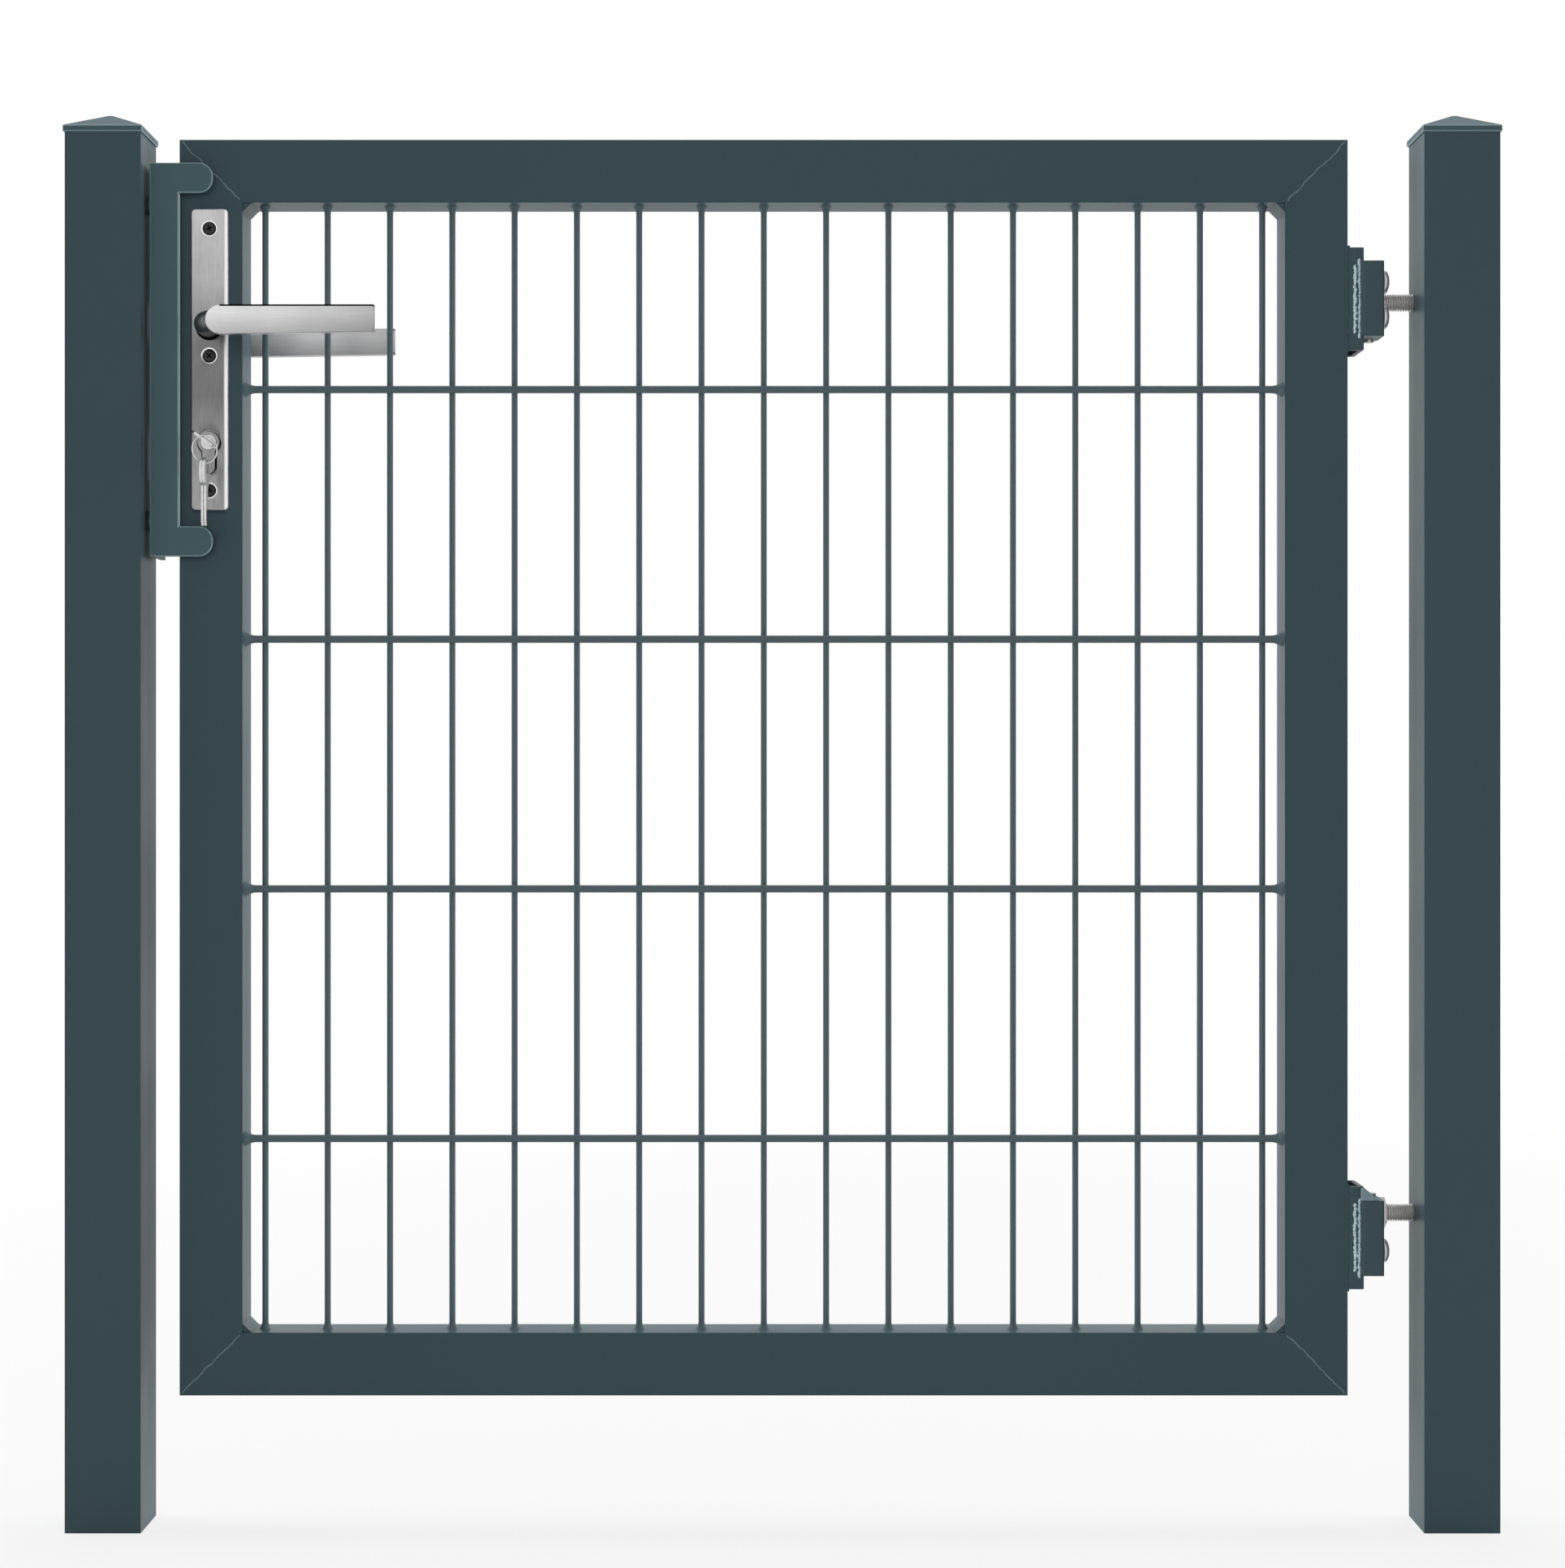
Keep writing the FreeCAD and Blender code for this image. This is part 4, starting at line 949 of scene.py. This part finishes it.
def seam(shape, start, end, width, bulge):
    """A row of drops from start to end."""
    count = max(2, round((end - start).length / drop_step))
    for index in range(count + 1):
        place = start.lerp(end, index / count)
        grown = width * maker.uniform(*width_range)
        shift = Vector((maker.uniform(-drop_aside, drop_aside) * width, 0,
                        maker.uniform(-drop_along, drop_along) * MM))
        size = (grown, bulge * maker.uniform(*bulge_range), drop_step * maker.uniform(*length_range))
        drop(shape, place + shift, size)


for side in ("upper", "lower"):
    block_low, block_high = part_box(side + "_hinge_block")
    channel_low, channel_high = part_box(side + "_hinge_channel")
    shape = bmesh.new()
    for shift, reach in block_seams:
        half = (block_high.z - block_low.z) / 2 * reach
        middle_z = (block_low.z + block_high.z) / 2
        x = block_low.x + shift
        seam(shape, Vector((x, channel_low.y, middle_z - half)), Vector((x, channel_low.y, middle_z + half)),
             block_width, block_bulge)
    finish_piece(side + "_hinge_weld", shape, seam_highlight, "leaf")
    shape = bmesh.new()
    for y, sizes in ((channel_low.y + channel_inset, front_seam),
                     (channel_high.y - channel_inset, back_seam)):
        seam(shape, Vector((channel_low.x, y, channel_low.z)), Vector((channel_low.x, y, channel_high.z)),
             *sizes)
    finish_piece(side + "_channel_weld", shape, frame_paint, "leaf")

# %% [markdown]
# A small gusset stiffens the lower hinge: a sloping plate from the top of the channel down to the block.
# Its outline has four corners and is drawn out to its thickness. Its pale paint is a painted highlight for the
# light on its sloping top.

# %% Gusset of the lower hinge
gusset_thick, gusset_depth, gusset_edge = 3 * MM, 1.5 * MM, 0.5 * MM
gusset_back, gusset_drop, gusset_front = 3 * MM, 1 * MM, 3.5 * MM
block_low, block_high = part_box("lower_hinge_block")
channel_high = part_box("lower_hinge_channel")[1]
gusset_y, gusset_top = block_low.y + gusset_depth, channel_high.z - gusset_drop
shape = bmesh.new()
corners = [(channel_high.x - gusset_back, block_high.z), (channel_high.x - gusset_back, gusset_top),
           (channel_high.x, gusset_top), (block_high.x - gusset_front, block_high.z)]
verts = [shape.verts.new((x, gusset_y, z)) for x, z in corners]
shape.faces.new(verts)
thicken(shape, shape.faces[:], (0, gusset_thick, 0))
round_off(shape, shape.edges[:], gusset_edge, 2, "EDGES")
finish_piece("lower_gusset", shape, edge_highlight, "leaf")

# %% [markdown]
# The mitres of the frame are welded too, but then ground flat and painted over. What stays is a thin line
# that wanders a little from corner to corner. It is led along the mitre as a wire half sunk in the face, in a
# paint paler than the frame's: a painted highlight on the line.

# %% Mitre welds
frame_low, frame_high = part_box("lock_stile")[0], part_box("hinge_stile")[1]
bead_radius, bead_sunk, bead_waves = 0.75 * MM, 0.35 * MM, 26
bead_keeps, bead_jump, bead_start, bead_end = 0.7, 0.55, 0.02, 0.25


def mitre_bead(shape, outer, inner, y, outward):
    """A wandering bead across one mitre on the face at y."""
    way = inner - outer
    aside = Vector((-way.z, 0, way.x)).normalized()
    wander = 0.0
    centres, radii = [], []
    for index in range(bead_waves + 1):
        wander = bead_keeps * wander + maker.uniform(-bead_jump, bead_jump) * MM
        place = outer + way * (bead_start + (1 - 2 * bead_start) * index / bead_waves) + aside * wander
        centres.append(Vector((place.x, y - outward * bead_sunk, place.z)))
        radii.append(bead_radius * (bead_end if index in (0, bead_waves) else maker.uniform(0.8, 1.15)))
    lead_along(shape, centres, radii, sides=8)


shape = bmesh.new()
for x_outer, x_inner in ((frame_low.x, panel_low.x), (frame_high.x, panel_high.x)):
    for z_outer, z_inner in ((frame_low.z, panel_low.z), (frame_high.z, panel_high.z)):
        for y, outward in ((rail_low.y, -1), (rail_high.y, 1)):
            mitre_bead(shape, Vector((x_outer, 0, z_outer)), Vector((x_inner, 0, z_inner)), y, outward)
finish_piece("mitre_welds", shape, mitre_highlight, "leaf")

# %% [markdown]
# A key is stamped from strip. Its bow is a disc with a hole, thickened on both sides by a raised pad, so
# that its edge shows fine lines. The blade has five cuts of different depths along one edge. One helper
# makes the key about the middle of its bow, with the blade pointing down, and a frame puts it in place.

# %% Keys and their ring
bow_radius, hole_radius, hole_rise, key_thick = 12 * MM, 5.5 * MM, 4 * MM, 2.2 * MM
blade_half, spare_blade, turned_blade, blade_inset = 4 * MM, 30 * MM, 16 * MM, 0.2 * MM
blade_root, pad_height, pad_share = 0.85, 0.55 * MM, 0.93
key_cuts, first_cut, next_cut = (1.4, 2.6, 0.9, 2.1, 1.6), 4, 4.4
cut_mouth, cut_foot, point_length, point_inset = 1.9 * MM, 0.5 * MM, 3 * MM, 2.5 * MM


def key_bow(shape, radius, low, high):
    """A disc with a hole, between two heights."""
    before = set(shape.faces)
    rim = round_loop(shape, Matrix.Translation((0, 0, low)), radius, sides=48)
    hole = round_loop(shape, Matrix.Translation((0, hole_rise, low)), hole_radius, sides=32)
    fill_round(shape, rim, [hole])
    thicken(shape, faces_since(shape, before), (0, 0, high - low))


def key_blade(shape, low, high, length):
    """The flat blade below the bow, with its cuts and its pointed end."""
    before = set(shape.faces)
    top, tip = -bow_radius * blade_root, -bow_radius - length
    points = [(-blade_half, top, low), (-blade_half, tip + point_length, low),
              (-blade_half + point_inset, tip, low)]
    for index, cut in enumerate(key_cuts):
        y, x = tip + (first_cut + next_cut * index) * MM, blade_half - cut * MM
        points += [(blade_half, y - cut_mouth, low), (x, y - cut_foot, low), (x, y + cut_foot, low),
                   (blade_half, y + cut_mouth, low)]
    points.append((blade_half, top, low))
    fill_round(shape, outline_loop(shape, points))
    thicken(shape, faces_since(shape, before), (0, 0, high - low))


def whole_key(shape, length):
    """One key about the middle of its bow."""
    half = key_thick / 2
    key_bow(shape, bow_radius, pad_height - half, half - pad_height)
    for low, high in ((-half, pad_height - half), (half - pad_height, half)):
        key_bow(shape, bow_radius * pad_share, low, high)
    key_blade(shape, -half + blade_inset, half - blade_inset, length)


key_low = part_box("key")[0]
bow_y = key_low.y + bow_radius
key_turned = math.radians(36)
lying = Matrix(((1, 0, 0), (0, -1, 0), (0, 0, -1))).to_4x4()
into_lock = Matrix.Translation((axis_x, bow_y, cylinder_z)) @ Matrix.Rotation(key_turned, 4, "Y") @ lying
shape = bmesh.new()
placed(shape, into_lock, whole_key, turned_blade)
finish_piece("turned_key", shape, key_nickel, "leaf", ["key"])

edge_on = Matrix(((0, 0, 1), (1, 0, 0), (0, 1, 0))).to_4x4()
for side in ("left", "right"):
    low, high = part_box("spare_key_" + side)
    place = Vector(((low.x + high.x) / 2, (low.y + high.y) / 2, high.z - bow_radius))
    shape = bmesh.new()
    placed(shape, Matrix.Translation(place) @ edge_on, whole_key, spare_blade)
    finish_piece("hanging_key_" + side, shape, key_nickel, "leaf", ["spare_key_" + side])

# %% [markdown]
# The key ring is a spring of two turns. It is spun like the thread, with a step that lays the second turn
# beside the first, and both ends are closed.

# %% Key ring
wire_radius, ring_turn, ring_inset, ring_steps = 0.5 * MM, math.radians(50), 0.8 * MM, 96
low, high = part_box("key_ring")
ring_radius = (high.z - low.z) / 2 - ring_inset


def split_ring(shape):
    """Two turns of wire about the X axis."""
    place = Matrix.Translation((-wire_radius, 0, ring_radius)) @ Matrix.Rotation(math.pi / 2, 4, "X")
    ring = round_loop(shape, place, wire_radius, sides=10)
    verts = list({vert for edge in ring for vert in edge.verts})
    made = bmesh.ops.spin(shape, geom=verts + ring, cent=(0, 0, 0), axis=(1, 0, 0), angle=4 * math.pi,
                          steps=ring_steps, dvec=(wire_radius * 2 / ring_steps, 0, 0), use_merge=False)
    last = [item for item in made["geom_last"] if isinstance(item, bmesh.types.BMEdge)]
    for end in (ring, last):
        fill_round(shape, end)


shape = bmesh.new()
placed(shape, Matrix.Translation((low + high) / 2) @ Matrix.Rotation(-ring_turn, 4, "Z"), split_ring)
finish_piece("wire_ring", shape, key_nickel, "leaf", ["key_ring"])

# %% [markdown]
# Last come the sizes. The box that the frame gave at the start and the box of the dressed gate are both
# gathered, the dressed gate's size is printed, and the script ends.

# %% Sizes and end
seen_low, seen_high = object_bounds()
sizes = {"cad": [list(cad_low), list(cad_high)], "visual": [list(seen_low), list(seen_high)]}
print("visual size in mm:", [round(v / MM, 1) for v in seen_high - seen_low])
